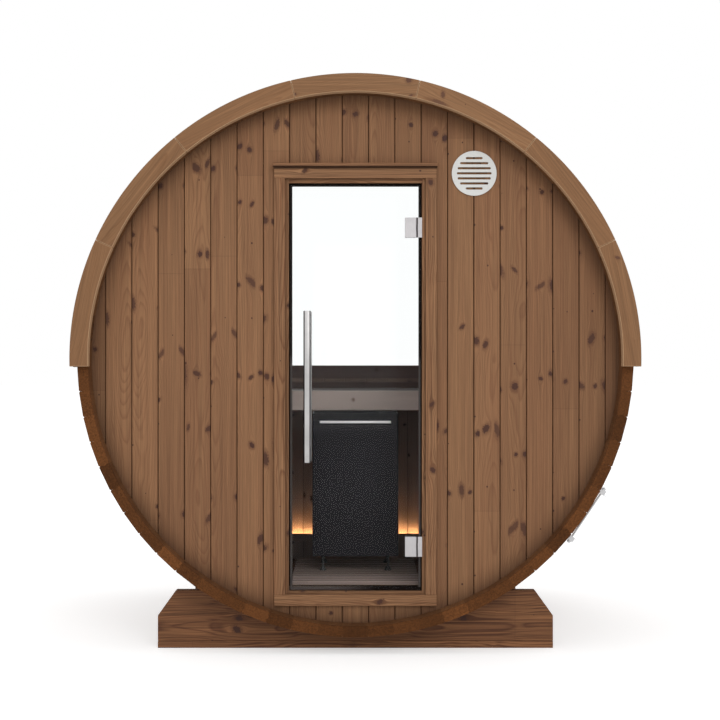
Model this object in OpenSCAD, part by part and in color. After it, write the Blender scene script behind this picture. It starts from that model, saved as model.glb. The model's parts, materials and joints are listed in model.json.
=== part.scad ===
// Barrel sauna house: a lying barrel of staves on two cradles, with a board wall and a glass door
// in front, a half-moon window behind, and a heater, bench and duckboard inside.
// Millimetres. +Z is up, the door faces -Y, and the origin is on the ground under the middle.

/* [Barrel] */
// Radius of the barrel, from its axis to the middle of a stave's outer face
barrel_r = 1111; // [925:1:1340]
// Length of the staves
barrel_len = 1800; // [1500:10:3000]
// Thickness of the staves
stave_t = 45; // [36:1:60]
// Number of staves around the barrel
stave_count = 67; // [57:2:77]
// Depth of the V joint between two staves
v_joint = 4; // [2:0.5:8]
// Depth of the groove in the staves that holds each end wall
groove_depth = 12; // [8:1:20]
// Gap left between the groups of staves
hairline = 0.5; // [0.3:0.1:1]

/* [Cradles] */
// Height of the barrel's underside above the ground
ground_gap = 72; // [55:1:110]
// Full width of a cradle
cradle_w = 1618; // [1340:1:1940]
// Height of a cradle at its shoulders
cradle_h = 236; // [195:1:285]
// Thickness of a cradle board
cradle_t = 45; // [36:1:60]
// Distance from the stave ends to a cradle's outer face
cradle_inset = 150; // [120:1:185]
// Width cut off each top corner of a cradle
cradle_corner_w = 74; // [60:1:90]
// Height cut off each top corner of a cradle
cradle_corner_h = 103; // [85:1:125]
// Height of the ground runner under a cradle
runner_h = 29; // [24:1:35]

/* [Roof] */
// Thickness of the roof boards
roof_t = 20; // [16:1:28]
// How far the roof comes down below the barrel's axis
roof_drop = 30; // [20:1:60]
// Thickness of the curved fascia boards
fascia_t = 45; // [36:1:54]
// How far the fascia stands out beyond the roof boards
fascia_lip = 1.5; // [0.5:0.5:6]
// How far the fascia laps in past the staves' inner face
fascia_lap = 4; // [2:1:10]
// Number of curved boards in one fascia
fascia_count = 7; // [5:1:9]
// Gap between two fascia boards
fascia_joint = 1; // [0.5:0.5:2]

/* [Steel bands] */
// Width of a band
band_w = 30; // [20:1:40]
// Thickness of a band
band_t = 1; // [0.8:0.1:1.5]
// Distance from the stave ends to the middle of a band
band_inset = 96; // [80:1:115]
// Diameter of the tensioning rod
tension_rod_d = 8; // [6:1:10]
// Height of the rod above the band
tension_rod_rise = 24; // [18:1:28]
// How far a tensioner's lugs reach above its rod
lug_over_rod = 12; // [6:1:16]
// Height of the band's turned-up ends above the lugs
band_end_h = 11; // [0:1:15]

/* [End walls] */
// Thickness of the end walls
wall_t = 42; // [35:1:50]
// Distance from the stave ends to the outer face of an end wall
wall_recess = 75; // [62:1:90]

/* [Door opening] */
// Clear width between the jambs
door_w = 539; // [500:1:643]
// Clear height between the threshold and the head
door_h = 1651.5; // [1400:0.5:1700]
// Height of the threshold's top above the ground
door_sill = 243.5; // [230:0.5:290]
// Thickness of the jambs, the head and the threshold
jamb_t = 30; // [24:1:36]
// Width of the casing boards
casing_w = 44.5; // [40:0.5:57]
// Thickness of the casing boards
casing_t = 20; // [16:1:24]
// Part of the side jambs left showing beside the casing
side_reveal = 14; // [8:1:20]
// Part of the head left showing under the casing
head_reveal = 18; // [8:1:22]
// Part of the threshold left showing over the casing
foot_reveal = 12; // [8:1:20]
// Thickness of the drip cap
cap_t = 14; // [12:1:20]
// How far the drip cap stands out in front of the casing
cap_nose = 25; // [15:1:35]
// How far the drip cap runs past the casing at each side
cap_side = 4; // [2:1:10]
// Width of the door stops on the side jambs
stop_w = 13; // [12:1:20]
// Height of the door stop under the head
head_stop = 11; // [9:1:14]
// Height of the door stop on the threshold
foot_stop = 21.5; // [16:0.5:24]
// Thickness of the rubber seal on the door stop
seal_t = 3; // [2:0.5:4]

/* [Glass door] */
// Thickness of the door's glass
glass_t = 8; // [6:1:10]
// Gap between the glass and the jambs
door_gap = 6; // [5:0.5:8]
// Least clearance between what moves and what doesn't
swing_clearance = 5; // [5:0.5:8]
// Distance from the edge of the opening to the hinges' axis
hinge_inset = 20.5; // [16:0.5:24]
// Height of a hinge
hinge_h = 80.5; // [70:0.5:98]
// Width of a hinge's plate on the glass
hinge_plate_w = 47; // [38:1:56]
// Thickness of the hinges' leaves
hinge_t = 9; // [8:1:12]
// Thickness of a hinge's clamp plate behind the glass
clamp_t = 6; // [4:1:8]
// Radius of a hinge's knuckles
knuckle_r = 3.5; // [3:0.5:5]
// Radius of a hinge's pin
pin_r = 1.8; // [1.5:0.1:2.5]
// Running clearance around a hinge's pin
pin_clearance = 0.08; // [0.05:0.01:0.1]
// Distance from the top and the bottom of the opening to a hinge's middle
hinge_end = 180.5; // [150:0.5:220]
// Width of the bar handle outside
handle_w = 29; // [22:1:34]
// Width of the bar handle inside
inner_handle_w = 31; // [25:1:36]
// Depth of the handles' bars, front to back
handle_deep = 20; // [16:1:24]
// Radius of the rounded edges of the handles' bars
handle_edge = 4; // [2:0.5:6]
// Length of the door's bar handles
handle_len = 610; // [500:1:740]
// How far the handles' middle lies over the middle of the opening
handle_rise = 2; // [-60:1:60]
// Distance from the door's axis of symmetry to the handles
handle_x = 194; // [160:1:215]
// Distance from the glass to the middle of a handle's bar
handle_reach = 51; // [42:1:60]
// Diameter of the posts that carry a handle
post_d = 16; // [12:1:20]
// Distance between the posts of a handle
post_span = 420; // [350:1:500]

/* [Vent] */
// Diameter of the vent's grille
vent_d = 181; // [150:1:217]
// Thickness of the grille
vent_t = 8; // [6:1:10]
// Distance of the vent to the right of the door's middle
vent_x = 480; // [455:1:560]
// Height of the vent's middle above the ground
vent_z = 1933; // [1800:1:1950]
// Diameter of the duct through the wall
duct_d = 100; // [80:1:120]
// Number of slots in the grille
slot_count = 7; // [5:2:7]
// Distance from slot to slot
slot_pitch = 20.4; // [18:0.1:22]
// Height of a slot
slot_h = 9; // [7:0.5:11]
// Diameter of the circle that the slots' ends lie on
slot_circle_d = 140; // [128:1:160]
// Thickness of the wooden slider that covers the duct inside
slider_t = 18; // [12:1:22]

/* [Half-moon window] */
// Height of the top of the window's sill above the ground
window_z = 1150; // [1110:1:1250]
// Height of the sill
sill_h = 65; // [54:1:78]
// Width of the window's curved frame inside the staves
arch_w = 70; // [58:1:84]
// Thickness of the window's glass
pane_t = 8; // [6:1:10]
// Depth of the rebate that holds the window's glass
rebate = 12; // [10:1:15]

/* [Bench] */
// Height of the bench's top above the ground
bench_z = 1036; // [990:1:1040]
// Distance of the bench's front from the middle of the barrel, towards the back
bench_front = 50; // [0:1:120]
// Height of the board along the bench's front
bench_board_h = 90; // [75:1:108]
// Thickness of the bench's boards
bench_board_t = 28; // [22:1:32]
// Number of slats in the bench's top
bench_slats_n = 8; // [6:1:9]
// Gap between the bench's slats
bench_slat_gap = 9; // [6:1:14]
// Height of the bearers under the slats
bearer_h = 58; // [48:1:62]
// Thickness of the bearers
bearer_t = 40; // [34:1:48]
// Distance of the inner bearers from the middle
bearer_x = 360; // [300:1:430]
// Height of the rail on the back wall over the bench
rail_h = 30; // [25:1:36]
// Thickness of the rail on the back wall
rail_t = 20; // [16:1:24]

/* [Duckboard] */
// Height of the duckboard's top above the ground
duck_z = 258; // [250:1:275]
// Length of the duckboard's slats
duck_w = 540; // [450:1:640]
// Number of slats in the duckboard
duck_slats_n = 12; // [9:1:13]
// Width of a slat
duck_slat_w = 55; // [48:1:62]
// Distance from slat to slat
duck_pitch = 70.5; // [66:0.5:80]
// Thickness of the slats
duck_slat_t = 21; // [18:1:25]
// Gap between the front wall and the first slat
duck_start = 31; // [20:1:50]
// Distance of the runners under the duckboard from its middle
duck_runner_x = 200; // [170:1:230]
// Thickness of the runners under the duckboard
duck_runner_t = 40; // [34:1:48]

/* [Heater] */
// Width of the heater
heater_w = 378; // [310:1:420]
// Depth of the heater, front to back
heater_d = 330; // [275:1:380]
// Height of the heater without its feet
heater_h = 622; // [520:1:670]
// Height of the heater's feet
foot_h = 66; // [55:1:79]
// Distance of the feet from the heater's middle, sideways
foot_x = 142; // [120:1:150]
// Distance of the feet from the heater's front and back
foot_inset = 40; // [35:1:50]
// Diameter of a foot's leg
leg_d = 10; // [8:1:14]
// Diameter of a foot's pad
pad_d = 30; // [24:1:40]
// Thickness of a foot's pad
pad_t = 5; // [4:1:8]
// Height of the cone that carries the leg on its pad
foot_cone_h = 14; // [8:1:20]
// Clear space between the heater and the bench
heater_gap = 72; // [60:1:90]
// Thickness of the heater's rim around the stones
rim_t = 8; // [6:1:10]
// Depth of the stones' tray below the rim
tray_depth = 120; // [100:1:144]
// How far the stones lie below the top of the rim
stone_drop = 8; // [4:1:20]
// Diameter of the guard bar in front of the heater
bar_d = 11; // [9:1:13]
// Length of the guard bar
bar_len = 307; // [255:1:330]
// Distance of the guard bar below the heater's top
bar_below = 36; // [30:1:43]
// Distance of the guard bar in front of the heater
bar_reach = 40; // [33:1:48]

/* [Light] */
// Height of the top of the light ledge's upright board above the ground
ledge_z = 297; // [285:1:330]
// Height of the light ledge's upright board
ledge_h = 38; // [32:1:40]
// Thickness of the ledge's boards
ledge_t = 18; // [15:1:20]
// Distance from the back wall to the front of the ledge
ledge_d = 52; // [44:1:62]
// Height of the light strip behind the upright board
strip_h = 12; // [10:1:13]
// Thickness of the light strip
strip_t = 4; // [3:1:5]
// Distance of the light strip below the top of the upright board
strip_drop = 4; // [3:1:6]

/* [Hidden] */
$fn = 180;

// Clearance between a piece and what it is seated in
seat = 0.3;
// Room cut past a solid's own surface
spill = 1;

axis_z = ground_gap + barrel_r;
stave_step = 360 / stave_count;
stave_in_r = barrel_r - stave_t;
room_r = stave_in_r - seat;
far = 4 * barrel_r;

// Staves from the barrel's underside to its top on one side, in groups around the barrel
groups_n = 5;
half_staves = (stave_count - 1) / 2;
group_staves = floor((half_staves - 1) / groups_n);
bottom_half = half_staves - groups_n * group_staves;

// End walls
wall_r = stave_in_r + groove_depth - seat;
wall_out = barrel_len / 2 - wall_recess;
wall_in = wall_out - wall_t;

// Steel bands stand just clear of the stave edges, and the roof lies over them
stave_edge_r = norm([barrel_r, barrel_r * tan(stave_step / 2) - v_joint]);
band_in_r = stave_edge_r + seat / 2;
band_out_r = band_in_r + band_t;
roof_in_r = band_out_r + seat;
roof_out_r = roof_in_r + roof_t;
fascia_in_r = stave_in_r - fascia_lap;
fascia_out_r = roof_out_r + fascia_lip;
roof_segments = 5;

// Angles, from the barrel's underside towards +X, of the two lugs of a band's tensioner
lug_high = 61.7;
lug_low = 50.2;
lug_t = 18;
// Thickness of a band's turned-up end
band_end_t = 2;

// Door opening
open_x = door_w / 2;
open_top = door_sill + door_h;
hole_x = open_x + jamb_t;
hole_top = open_top + jamb_t;
hole_bottom = door_sill - jamb_t;
casing_in = open_x + side_reveal;
casing_out = casing_in + casing_w;
casing_top = open_top + head_reveal + casing_w;
casing_bottom = door_sill - foot_reveal - casing_w;
casing_front = -wall_out - casing_t;

// Glass door: the hinges' axis lies in the front plane of their leaves
hinge_front = -wall_out - 4;
axis_x = open_x - hinge_inset;
glass_front = hinge_front + hinge_t + swing_clearance;
glass_back = glass_front + glass_t;
glass_x = open_x - door_gap;
glass_top = open_top - door_gap;
glass_bottom = door_sill + door_gap;
glass_sweep_r = norm([glass_x - axis_x, glass_back - hinge_front]);
seal_front = hinge_front + glass_sweep_r + swing_clearance;
hinge_slit = 1;
knuckle_h = (hinge_h - 2 * hinge_slit) / 3;
knuckle_cut_r = knuckle_r + 0.5;
hinge_heights = [door_sill + hinge_end, open_top - hinge_end];
handle_z = door_sill + door_h / 2 + handle_rise;

// Window
arch_in_r = stave_in_r - arch_w;
pane_y = (wall_out + wall_in) / 2;

// Bench
bench_depth = wall_in - seat - bench_front - bench_board_t;
bench_pitch = (bench_depth + bench_slat_gap) / bench_slats_n;
slat_under = bench_z - bench_board_t;

// Heater
heater_back = bench_front - heater_gap;
heater_front = heater_back - heater_d;
heater_low = duck_z + foot_h;
heater_top = heater_low + heater_h;

function around(r, a) = [r * sin(a), -r * cos(a)];
function joint_angle(i) = (i - 0.5) * stave_step;

// A point on the flat outer face of a stave, side -1 or 1 of its middle
function flat_corner(i, side) =
    let (a = i * stave_step, half = barrel_r * tan(stave_step / 2) - v_joint)
    around(barrel_r, a) + side * half * [cos(a), sin(a)];

// Outline of a group of staves: flat faces outside with V joints between, flat faces inside
function stave_outline(first, last) =
    let (
        slip = hairline / 2 / barrel_r * 180 / PI,
        notch_r = (barrel_r - v_joint) / cos(stave_step / 2),
        inner_r = stave_in_r / cos(stave_step / 2),
        end = joint_angle(last + 1) - slip,
        start = joint_angle(first) + slip
    )
    concat(
        [around(notch_r, start)],
        [for (i = [first:last]) each [
            if (i > first) around(notch_r, joint_angle(i)),
            flat_corner(i, -1),
            flat_corner(i, 1)
        ]],
        [around(notch_r, end), around(inner_r, end)],
        [for (i = [last:-1:first + 1]) around(inner_r, joint_angle(i))],
        [around(inner_r, start)]
    );

// Carries a flat outline, drawn around the barrel's axis as seen from the front, from y0 to y1
module along_y(y0, y1) {
    translate([0, y1, axis_z]) rotate([90, 0, 0]) linear_extrude(y1 - y0) children();
}

// A plain board between two corners
module board(low, high) {
    translate(low) cube(high - low);
}

// Part of a ring around the barrel's axis, between two angles from its underside towards +X
module ring_sector(r_in, r_out, a0, a1, y0, y1) {
    translate([0, y1, axis_z]) rotate([90, 0, 0]) rotate([0, 0, a0 - 90])
        rotate_extrude(angle = a1 - a0) translate([r_in, 0]) square([r_out - r_in, y1 - y0]);
}

// A whole ring around the barrel's axis
module ring(r_in, r_out, y0, y1) {
    along_y(y0, y1) difference() {
        circle(r_out);
        circle(r_in);
    }
}

// Everything over or under a height
module over(z) {
    translate([-far / 2, -far / 2, z]) cube(far);
}

module under(z) {
    translate([-far / 2, -far / 2, z - far]) cube(far);
}

// What is inside the staves keeps to the room's radius
module inside_room(y0, y1) {
    intersection() {
        children();
        along_y(y0, y1) circle(room_r);
    }
}

// ---- Barrel ----

module stave_group(first, last) {
    color("#6b4a33") difference() {
        along_y(-barrel_len / 2, barrel_len / 2) polygon(stave_outline(first, last));
        for (y = [-wall_out, wall_in])
            ring(stave_in_r / 2, wall_r + seat, y - seat, y + wall_t + seat);
    }
}

module shell_bottom() {
    stave_group(-bottom_half, bottom_half);
}

module shell_right() {
    for (g = [0:groups_n - 1]) {
        first = bottom_half + 1 + g * group_staves;
        stave_group(first, first + group_staves - 1);
    }
}

module shell_left() {
    mirror([1, 0, 0]) shell_right();
}

// ---- Cradles ----

module cradle(y0) {
    half = cradle_w / 2;
    color("#5a3f2c") difference() {
        along_y(y0, y0 + cradle_t) polygon([
            [-half, runner_h - axis_z],
            [half, runner_h - axis_z],
            [half, cradle_h - cradle_corner_h - axis_z],
            [half - cradle_corner_w, cradle_h - axis_z],
            [cradle_corner_w - half, cradle_h - axis_z],
            [-half, cradle_h - cradle_corner_h - axis_z]
        ]);
        along_y(y0 - spill, y0 + cradle_t + spill) circle(stave_edge_r + seat);
    }
}

module cradle_front() {
    cradle(cradle_inset - barrel_len / 2);
}

module cradle_rear() {
    cradle(barrel_len / 2 - cradle_inset - cradle_t);
}

module ground_runners() {
    color("#4f3826") for (y = [cradle_inset - barrel_len / 2, barrel_len / 2 - cradle_inset - cradle_t])
        board([-cradle_w / 2, y, 0], [cradle_w / 2, y + cradle_t, runner_h]);
}

// ---- Roof ----

module roof_boards() {
    end = 90 - asin(roof_drop / roof_in_r);
    slip = hairline / 2 / roof_in_r * 180 / PI;
    step = (180 - end) / roof_segments;
    color("#76553c") for (side = [0, 1], s = [0:roof_segments - 1])
        mirror([side, 0, 0])
            ring_sector(roof_in_r, roof_out_r, end + s * step + slip, end + (s + 1) * step - slip,
                -barrel_len / 2, barrel_len / 2);
}

module fascia(y0) {
    end = 90 - asin(roof_drop / fascia_in_r) - 1;
    start = 90 - asin(roof_drop / fascia_out_r);
    step = 2 * (180 - start) / fascia_count;
    slip = fascia_joint / 2 / fascia_in_r * 180 / PI;
    color("#8a6548") intersection() {
        for (s = [0:fascia_count - 1])
            ring_sector(fascia_in_r, fascia_out_r,
                s == 0 ? end : start + s * step + slip,
                s == fascia_count - 1 ? 360 - end : start + (s + 1) * step - slip,
                y0, y0 + fascia_t);
        over(axis_z - roof_drop);
    }
}

module fascia_front() {
    fascia(-barrel_len / 2 - fascia_t);
}

module fascia_rear() {
    fascia(barrel_len / 2);
}

// ---- Steel bands ----

band_places = [band_inset - barrel_len / 2, barrel_len / 2 - band_inset];

module steel_bands() {
    color("#b8b8ba") for (y = band_places)
        ring_sector(band_in_r, band_out_r, lug_high, lug_low + 360, y - band_w / 2, y + band_w / 2);
}

// One lug, standing on the band at an angle from the barrel's underside
module lug(y, angle) {
    translate([0, y, axis_z]) rotate([0, 90 - angle, 0])
        translate([band_out_r, -band_w / 2, -lug_t / 2])
            cube([tension_rod_rise + lug_over_rod, band_w, lug_t]);
}

// The turned-up end of a band, against the side of a lug that faces the other one: side is -1 or 1
module band_end(y, angle, side) {
    from = side > 0 ? lug_t / 2 : -lug_t / 2 - band_end_t;
    translate([0, y, axis_z]) rotate([0, 90 - angle, 0])
        translate([band_out_r, -band_w / 2, from])
            cube([tension_rod_rise + lug_over_rod + band_end_h, band_w, band_end_t]);
}

module band_tensioners() {
    rod_r = band_out_r + tension_rod_rise;
    high = around(rod_r, lug_high);
    low = around(rod_r, lug_low);
    reach = norm(high - low);
    over_run = lug_t / 2 + tension_rod_d + 3;
    tilt = atan2(high[0] - low[0], high[1] - low[1]);
    color("#c4c4c6") for (y = band_places) union() {
        lug(y, lug_high);
        lug(y, lug_low);
        band_end(y, lug_high, -1);
        band_end(y, lug_low, 1);
        translate([low[0], y, axis_z + low[1]]) rotate([0, tilt, 0]) {
            translate([0, 0, -over_run]) cylinder(d = tension_rod_d, h = reach + 2 * over_run, $fn = 32);
            for (z = [-lug_t / 2 - tension_rod_d, reach + lug_t / 2 - 1])
                translate([0, 0, z]) cylinder(d = 2 * tension_rod_d, h = tension_rod_d + 1, $fn = 6);
        }
    }
}

// ---- Front wall and door frame ----

module front_disc() {
    along_y(-wall_out, -wall_in) circle(wall_r);
}

module front_wall_left() {
    color("#8b6a4f") intersection() {
        front_disc();
        board([-far / 2, -far / 2, -far / 2], [-hole_x, far / 2, far]);
    }
}

module front_wall_right() {
    color("#8b6a4f") difference() {
        intersection() {
            front_disc();
            board([hole_x, -far / 2, -far / 2], [far / 2, far / 2, far]);
        }
        translate([vent_x, -wall_in + spill, vent_z]) rotate([90, 0, 0])
            cylinder(d = duct_d, h = wall_t + 2 * spill);
    }
}

module front_wall_over_door() {
    color("#8b6a4f") intersection() {
        front_disc();
        board([-hole_x, -far / 2, hole_top], [hole_x, far / 2, far]);
    }
}

module front_wall_under_door() {
    color("#8b6a4f") intersection() {
        front_disc();
        board([-hole_x, -far / 2, -far], [hole_x, far / 2, hole_bottom]);
    }
}

module jamb_sides() {
    color("#8a684e") for (side = [0, 1]) mirror([side, 0, 0]) union() {
        board([open_x, -wall_out, hole_bottom], [hole_x, -wall_in, hole_top]);
        board([open_x - stop_w, seal_front + seal_t, door_sill], [open_x + spill, -wall_in, open_top]);
    }
}

module jamb_head() {
    color("#8a684e") union() {
        board([-open_x, -wall_out, open_top], [open_x, -wall_in, hole_top]);
        board([stop_w - open_x, seal_front + seal_t, open_top - head_stop],
            [open_x - stop_w, -wall_in, open_top + spill]);
    }
}

module threshold() {
    color("#8a684e") union() {
        board([-open_x, -wall_out, hole_bottom], [open_x, -wall_in, door_sill]);
        board([stop_w - open_x, seal_front + seal_t, door_sill - spill],
            [open_x - stop_w, -wall_in, door_sill + foot_stop]);
    }
}

module door_seal() {
    color("#1c1a1a") difference() {
        board([-open_x, seal_front, door_sill], [open_x, seal_front + seal_t, open_top]);
        board([stop_w - open_x, seal_front - spill, door_sill + foot_stop],
            [open_x - stop_w, seal_front + seal_t + spill, open_top - head_stop]);
    }
}

module casing_sides() {
    color("#94705a") for (side = [0, 1]) mirror([side, 0, 0])
        board([casing_in, casing_front, casing_bottom + casing_w],
            [casing_out, -wall_out, casing_top - casing_w]);
}

module casing_head() {
    color("#94705a") board([-casing_out, casing_front, casing_top - casing_w],
        [casing_out, -wall_out, casing_top]);
}

module casing_foot() {
    color("#94705a") board([-casing_out, casing_front, casing_bottom],
        [casing_out, -wall_out, casing_bottom + casing_w]);
}

module drip_cap() {
    color("#94705a") board([-casing_out - cap_side, casing_front - cap_nose, casing_top],
        [casing_out + cap_side, -wall_out, casing_top + cap_t]);
}

// ---- Glass door ----

module door_glass() {
    color("#9fb0b0", 0.35) board([-glass_x, glass_front, glass_bottom], [glass_x, glass_back, glass_top]);
}

// One bar handle of this width on the side of the glass that faces away from y_face along dir
module bar_handle(y_face, dir, width) {
    union() {
        translate([-handle_x, y_face + dir * handle_reach, handle_z - handle_len / 2])
            linear_extrude(handle_len) offset(r = handle_edge, $fn = 32)
                square([width - 2 * handle_edge, handle_deep - 2 * handle_edge], center = true);
        for (z = [-post_span / 2, post_span / 2])
            translate([-handle_x, y_face, handle_z + z]) rotate([-90 * dir, 0, 0])
                cylinder(d = post_d, h = handle_reach, $fn = 48);
    }
}

module door_handles() {
    color("#c9c9cb") {
        bar_handle(glass_front, -1, handle_w);
        bar_handle(glass_back, 1, inner_handle_w);
    }
}

// Heights, from a hinge's foot, of the lower end of its knuckles: 0 and 2 on the door, 1 on the frame
function knuckle_z(k) = k * (knuckle_h + hinge_slit);

module hinge_glass_plates() {
    color("#cfcfd1") for (z = hinge_heights) translate([axis_x, hinge_front, z - hinge_h / 2]) {
        difference() {
            union() {
                translate([-hinge_plate_w - hinge_slit, 0, 0])
                    cube([hinge_plate_w, glass_front - hinge_front, hinge_h]);
                for (k = [0, 2]) translate([0, 0, knuckle_z(k)]) {
                    cylinder(r = knuckle_r, h = knuckle_h, $fn = 48);
                    translate([-knuckle_r, 0, 0]) cube([knuckle_r, knuckle_r, knuckle_h]);
                }
            }
            translate([0, 0, -spill]) cylinder(r = pin_r + pin_clearance, h = hinge_h + 2 * spill, $fn = 48);
            translate([0, 0, knuckle_z(1) - hinge_slit])
                cylinder(r = knuckle_cut_r, h = knuckle_h + 2 * hinge_slit, $fn = 48);
        }
        translate([-hinge_plate_w - hinge_slit, glass_back - hinge_front, 0])
            cube([hinge_plate_w - swing_clearance, clamp_t, hinge_h]);
    }
}

module hinge_frame_leaves() {
    color("#cfcfd1") for (z = hinge_heights) translate([axis_x, hinge_front, z - hinge_h / 2]) {
        difference() {
            translate([hinge_slit, 0, 0]) cube([hinge_inset - hinge_slit, hinge_t, hinge_h]);
            for (k = [0, 2]) translate([0, 0, knuckle_z(k) - spill])
                cylinder(r = knuckle_cut_r, h = knuckle_h + hinge_slit + spill, $fn = 48);
        }
        translate([0, 0, knuckle_z(1)]) {
            cylinder(r = knuckle_r, h = knuckle_h, $fn = 48);
            cube([2 * knuckle_r, knuckle_r, knuckle_h]);
        }
        cylinder(r = pin_r, h = hinge_h, $fn = 48);
    }
}

// ---- Vent ----

module vent_grille() {
    slot_r = slot_circle_d / 2;
    color("#d8d8d6") translate([vent_x, -wall_out, vent_z]) rotate([90, 0, 0]) difference() {
        cylinder(d = vent_d, h = vent_t);
        for (k = [-(slot_count - 1) / 2:(slot_count - 1) / 2]) {
            half = sqrt(slot_r * slot_r - k * k * slot_pitch * slot_pitch) - slot_h / 2;
            translate([0, k * slot_pitch, -spill]) union() {
                translate([-half, -slot_h / 2, 0]) cube([2 * half, slot_h, vent_t + 2 * spill]);
                for (x = [-half, half]) translate([x, 0, 0])
                    cylinder(d = slot_h, h = vent_t + 2 * spill, $fn = 32);
            }
        }
    }
}

module vent_slider() {
    side = duct_d + 4 * slider_t;
    color("#7a5b43") board([vent_x - side / 2, -wall_in, vent_z - side / 2],
        [vent_x + side / 2, -wall_in + slider_t, vent_z + side / 2]);
}

// ---- Back wall and half-moon window ----

module back_wall_lower() {
    color("#7c5c44") intersection() {
        along_y(wall_in, wall_out) circle(wall_r);
        under(window_z - sill_h);
    }
}

// Room for the glass in the window's frame
module pane_groove() {
    intersection() {
        along_y(pane_y - pane_t / 2 - seat, pane_y + pane_t / 2 + seat) circle(arch_in_r + rebate + seat);
        over(window_z - rebate - seat);
    }
}

module window_sill() {
    color("#80604a") difference() {
        intersection() {
            along_y(wall_in, wall_out) circle(wall_r);
            over(window_z - sill_h);
            under(window_z);
        }
        pane_groove();
    }
}

module window_arch() {
    parts = 5;
    start = 90 - asin((axis_z - window_z) / arch_in_r);
    end = start - 1;
    step = 2 * (180 - start) / parts;
    slip = hairline / 2 / arch_in_r * 180 / PI;
    color("#80604a") difference() {
        intersection() {
            for (s = [0:parts - 1])
                ring_sector(arch_in_r, wall_r,
                    s == 0 ? end : start + s * step + slip,
                    s == parts - 1 ? 360 - end : start + (s + 1) * step - slip,
                    wall_in, wall_out);
            over(window_z);
        }
        pane_groove();
    }
}

module window_glass() {
    color("#9fb0b0", 0.35) intersection() {
        along_y(pane_y - pane_t / 2, pane_y + pane_t / 2) circle(arch_in_r + rebate);
        over(window_z - rebate);
    }
}

// ---- Bench ----

module bench_slats() {
    y0 = bench_front + bench_board_t;
    color("#6f5240") for (s = [0:bench_slats_n - 1])
        inside_room(y0, wall_in - seat)
            board([-far / 2, y0 + s * bench_pitch, slat_under],
                [far / 2, y0 + (s + 1) * bench_pitch - bench_slat_gap, bench_z]);
}

module bench_front_board() {
    color("#7d6150") inside_room(bench_front, bench_front + bench_board_t)
        board([-far / 2, bench_front, bench_z - bench_board_h],
            [far / 2, bench_front + bench_board_t, bench_z]);
}

module bench_bearers() {
    y0 = bench_front + bench_board_t;
    edge = sqrt(room_r * room_r - pow(axis_z - slat_under + bearer_h, 2));
    color("#5d4435") for (side = [0, 1]) mirror([side, 0, 0]) {
        board([bearer_x, y0, slat_under - bearer_h], [bearer_x + bearer_t, wall_in, slat_under]);
        inside_room(y0, wall_in)
            board([edge - bearer_t, y0, slat_under - bearer_h], [far / 2, wall_in, slat_under]);
    }
}

module bench_back_rail() {
    color("#5d4435") inside_room(wall_in - rail_t, wall_in)
        board([-far / 2, wall_in - rail_t, bench_z + seat], [far / 2, wall_in, bench_z + rail_h]);
}

// ---- Duckboard ----

module duckboard_slats() {
    y0 = -wall_in + duck_start;
    color("#5f4636") for (s = [0:duck_slats_n - 1])
        board([-duck_w / 2, y0 + s * duck_pitch, duck_z - duck_slat_t],
            [duck_w / 2, y0 + s * duck_pitch + duck_slat_w, duck_z]);
}

module duckboard_runners() {
    y0 = -wall_in + duck_start;
    y1 = y0 + (duck_slats_n - 1) * duck_pitch + duck_slat_w;
    color("#4f3a2d") for (side = [0, 1]) mirror([side, 0, 0]) inside_room(y0, y1)
        board([duck_runner_x - duck_runner_t / 2, y0, 0],
            [duck_runner_x + duck_runner_t / 2, y1, duck_z - duck_slat_t]);
}

// ---- Heater ----

module heater_body() {
    color("#2a282b") difference() {
        board([-heater_w / 2, heater_front, heater_low], [heater_w / 2, heater_back, heater_top]);
        board([rim_t - heater_w / 2, heater_front + rim_t, heater_top - tray_depth],
            [heater_w / 2 - rim_t, heater_back - rim_t, heater_top + spill]);
    }
}

module heater_stones() {
    inset = rim_t + 2 * seat;
    color("#57544f") board(
        [inset - heater_w / 2, heater_front + inset, heater_top - tray_depth],
        [heater_w / 2 - inset, heater_back - inset, heater_top - stone_drop]);
}

module heater_feet() {
    color("#39373a") for (x = [-foot_x, foot_x], y = [heater_front + foot_inset, heater_back - foot_inset])
        translate([x, y, duck_z]) union() {
            cylinder(d = pad_d, h = pad_t, $fn = 48);
            translate([0, 0, pad_t]) cylinder(d1 = pad_d, d2 = leg_d + 4, h = foot_cone_h, $fn = 48);
            cylinder(d = leg_d, h = foot_h, $fn = 32);
        }
}

module heater_bar() {
    z = heater_top - bar_below;
    y = heater_front - bar_reach;
    color("#c4c4c6") union() {
        translate([-bar_len / 2, y, z]) rotate([0, 90, 0]) cylinder(d = bar_d, h = bar_len, $fn = 32);
        for (x = [-1, 1]) translate([x * (bar_len / 2 - 2 * bar_d), heater_front, z]) rotate([90, 0, 0])
            cylinder(d = bar_d * 0.8, h = bar_reach, $fn = 32);
    }
}

// ---- Light ----

module light_ledge() {
    y0 = wall_in - ledge_d;
    low = ledge_z - ledge_h;
    color("#6f5240") inside_room(y0, wall_in) union() {
        board([-far / 2, y0, low], [far / 2, y0 + ledge_t, ledge_z]);
        board([-far / 2, y0, low], [far / 2, wall_in, low + ledge_t]);
    }
}

module light_strip() {
    y0 = wall_in - ledge_d + ledge_t;
    low = ledge_z - strip_drop - strip_h;
    half = sqrt(room_r * room_r - pow(axis_z - low, 2)) - ledge_d;
    color("#ffd9a0") board([-half, y0, low], [half, y0 + strip_t, low + strip_h]);
}

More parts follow.
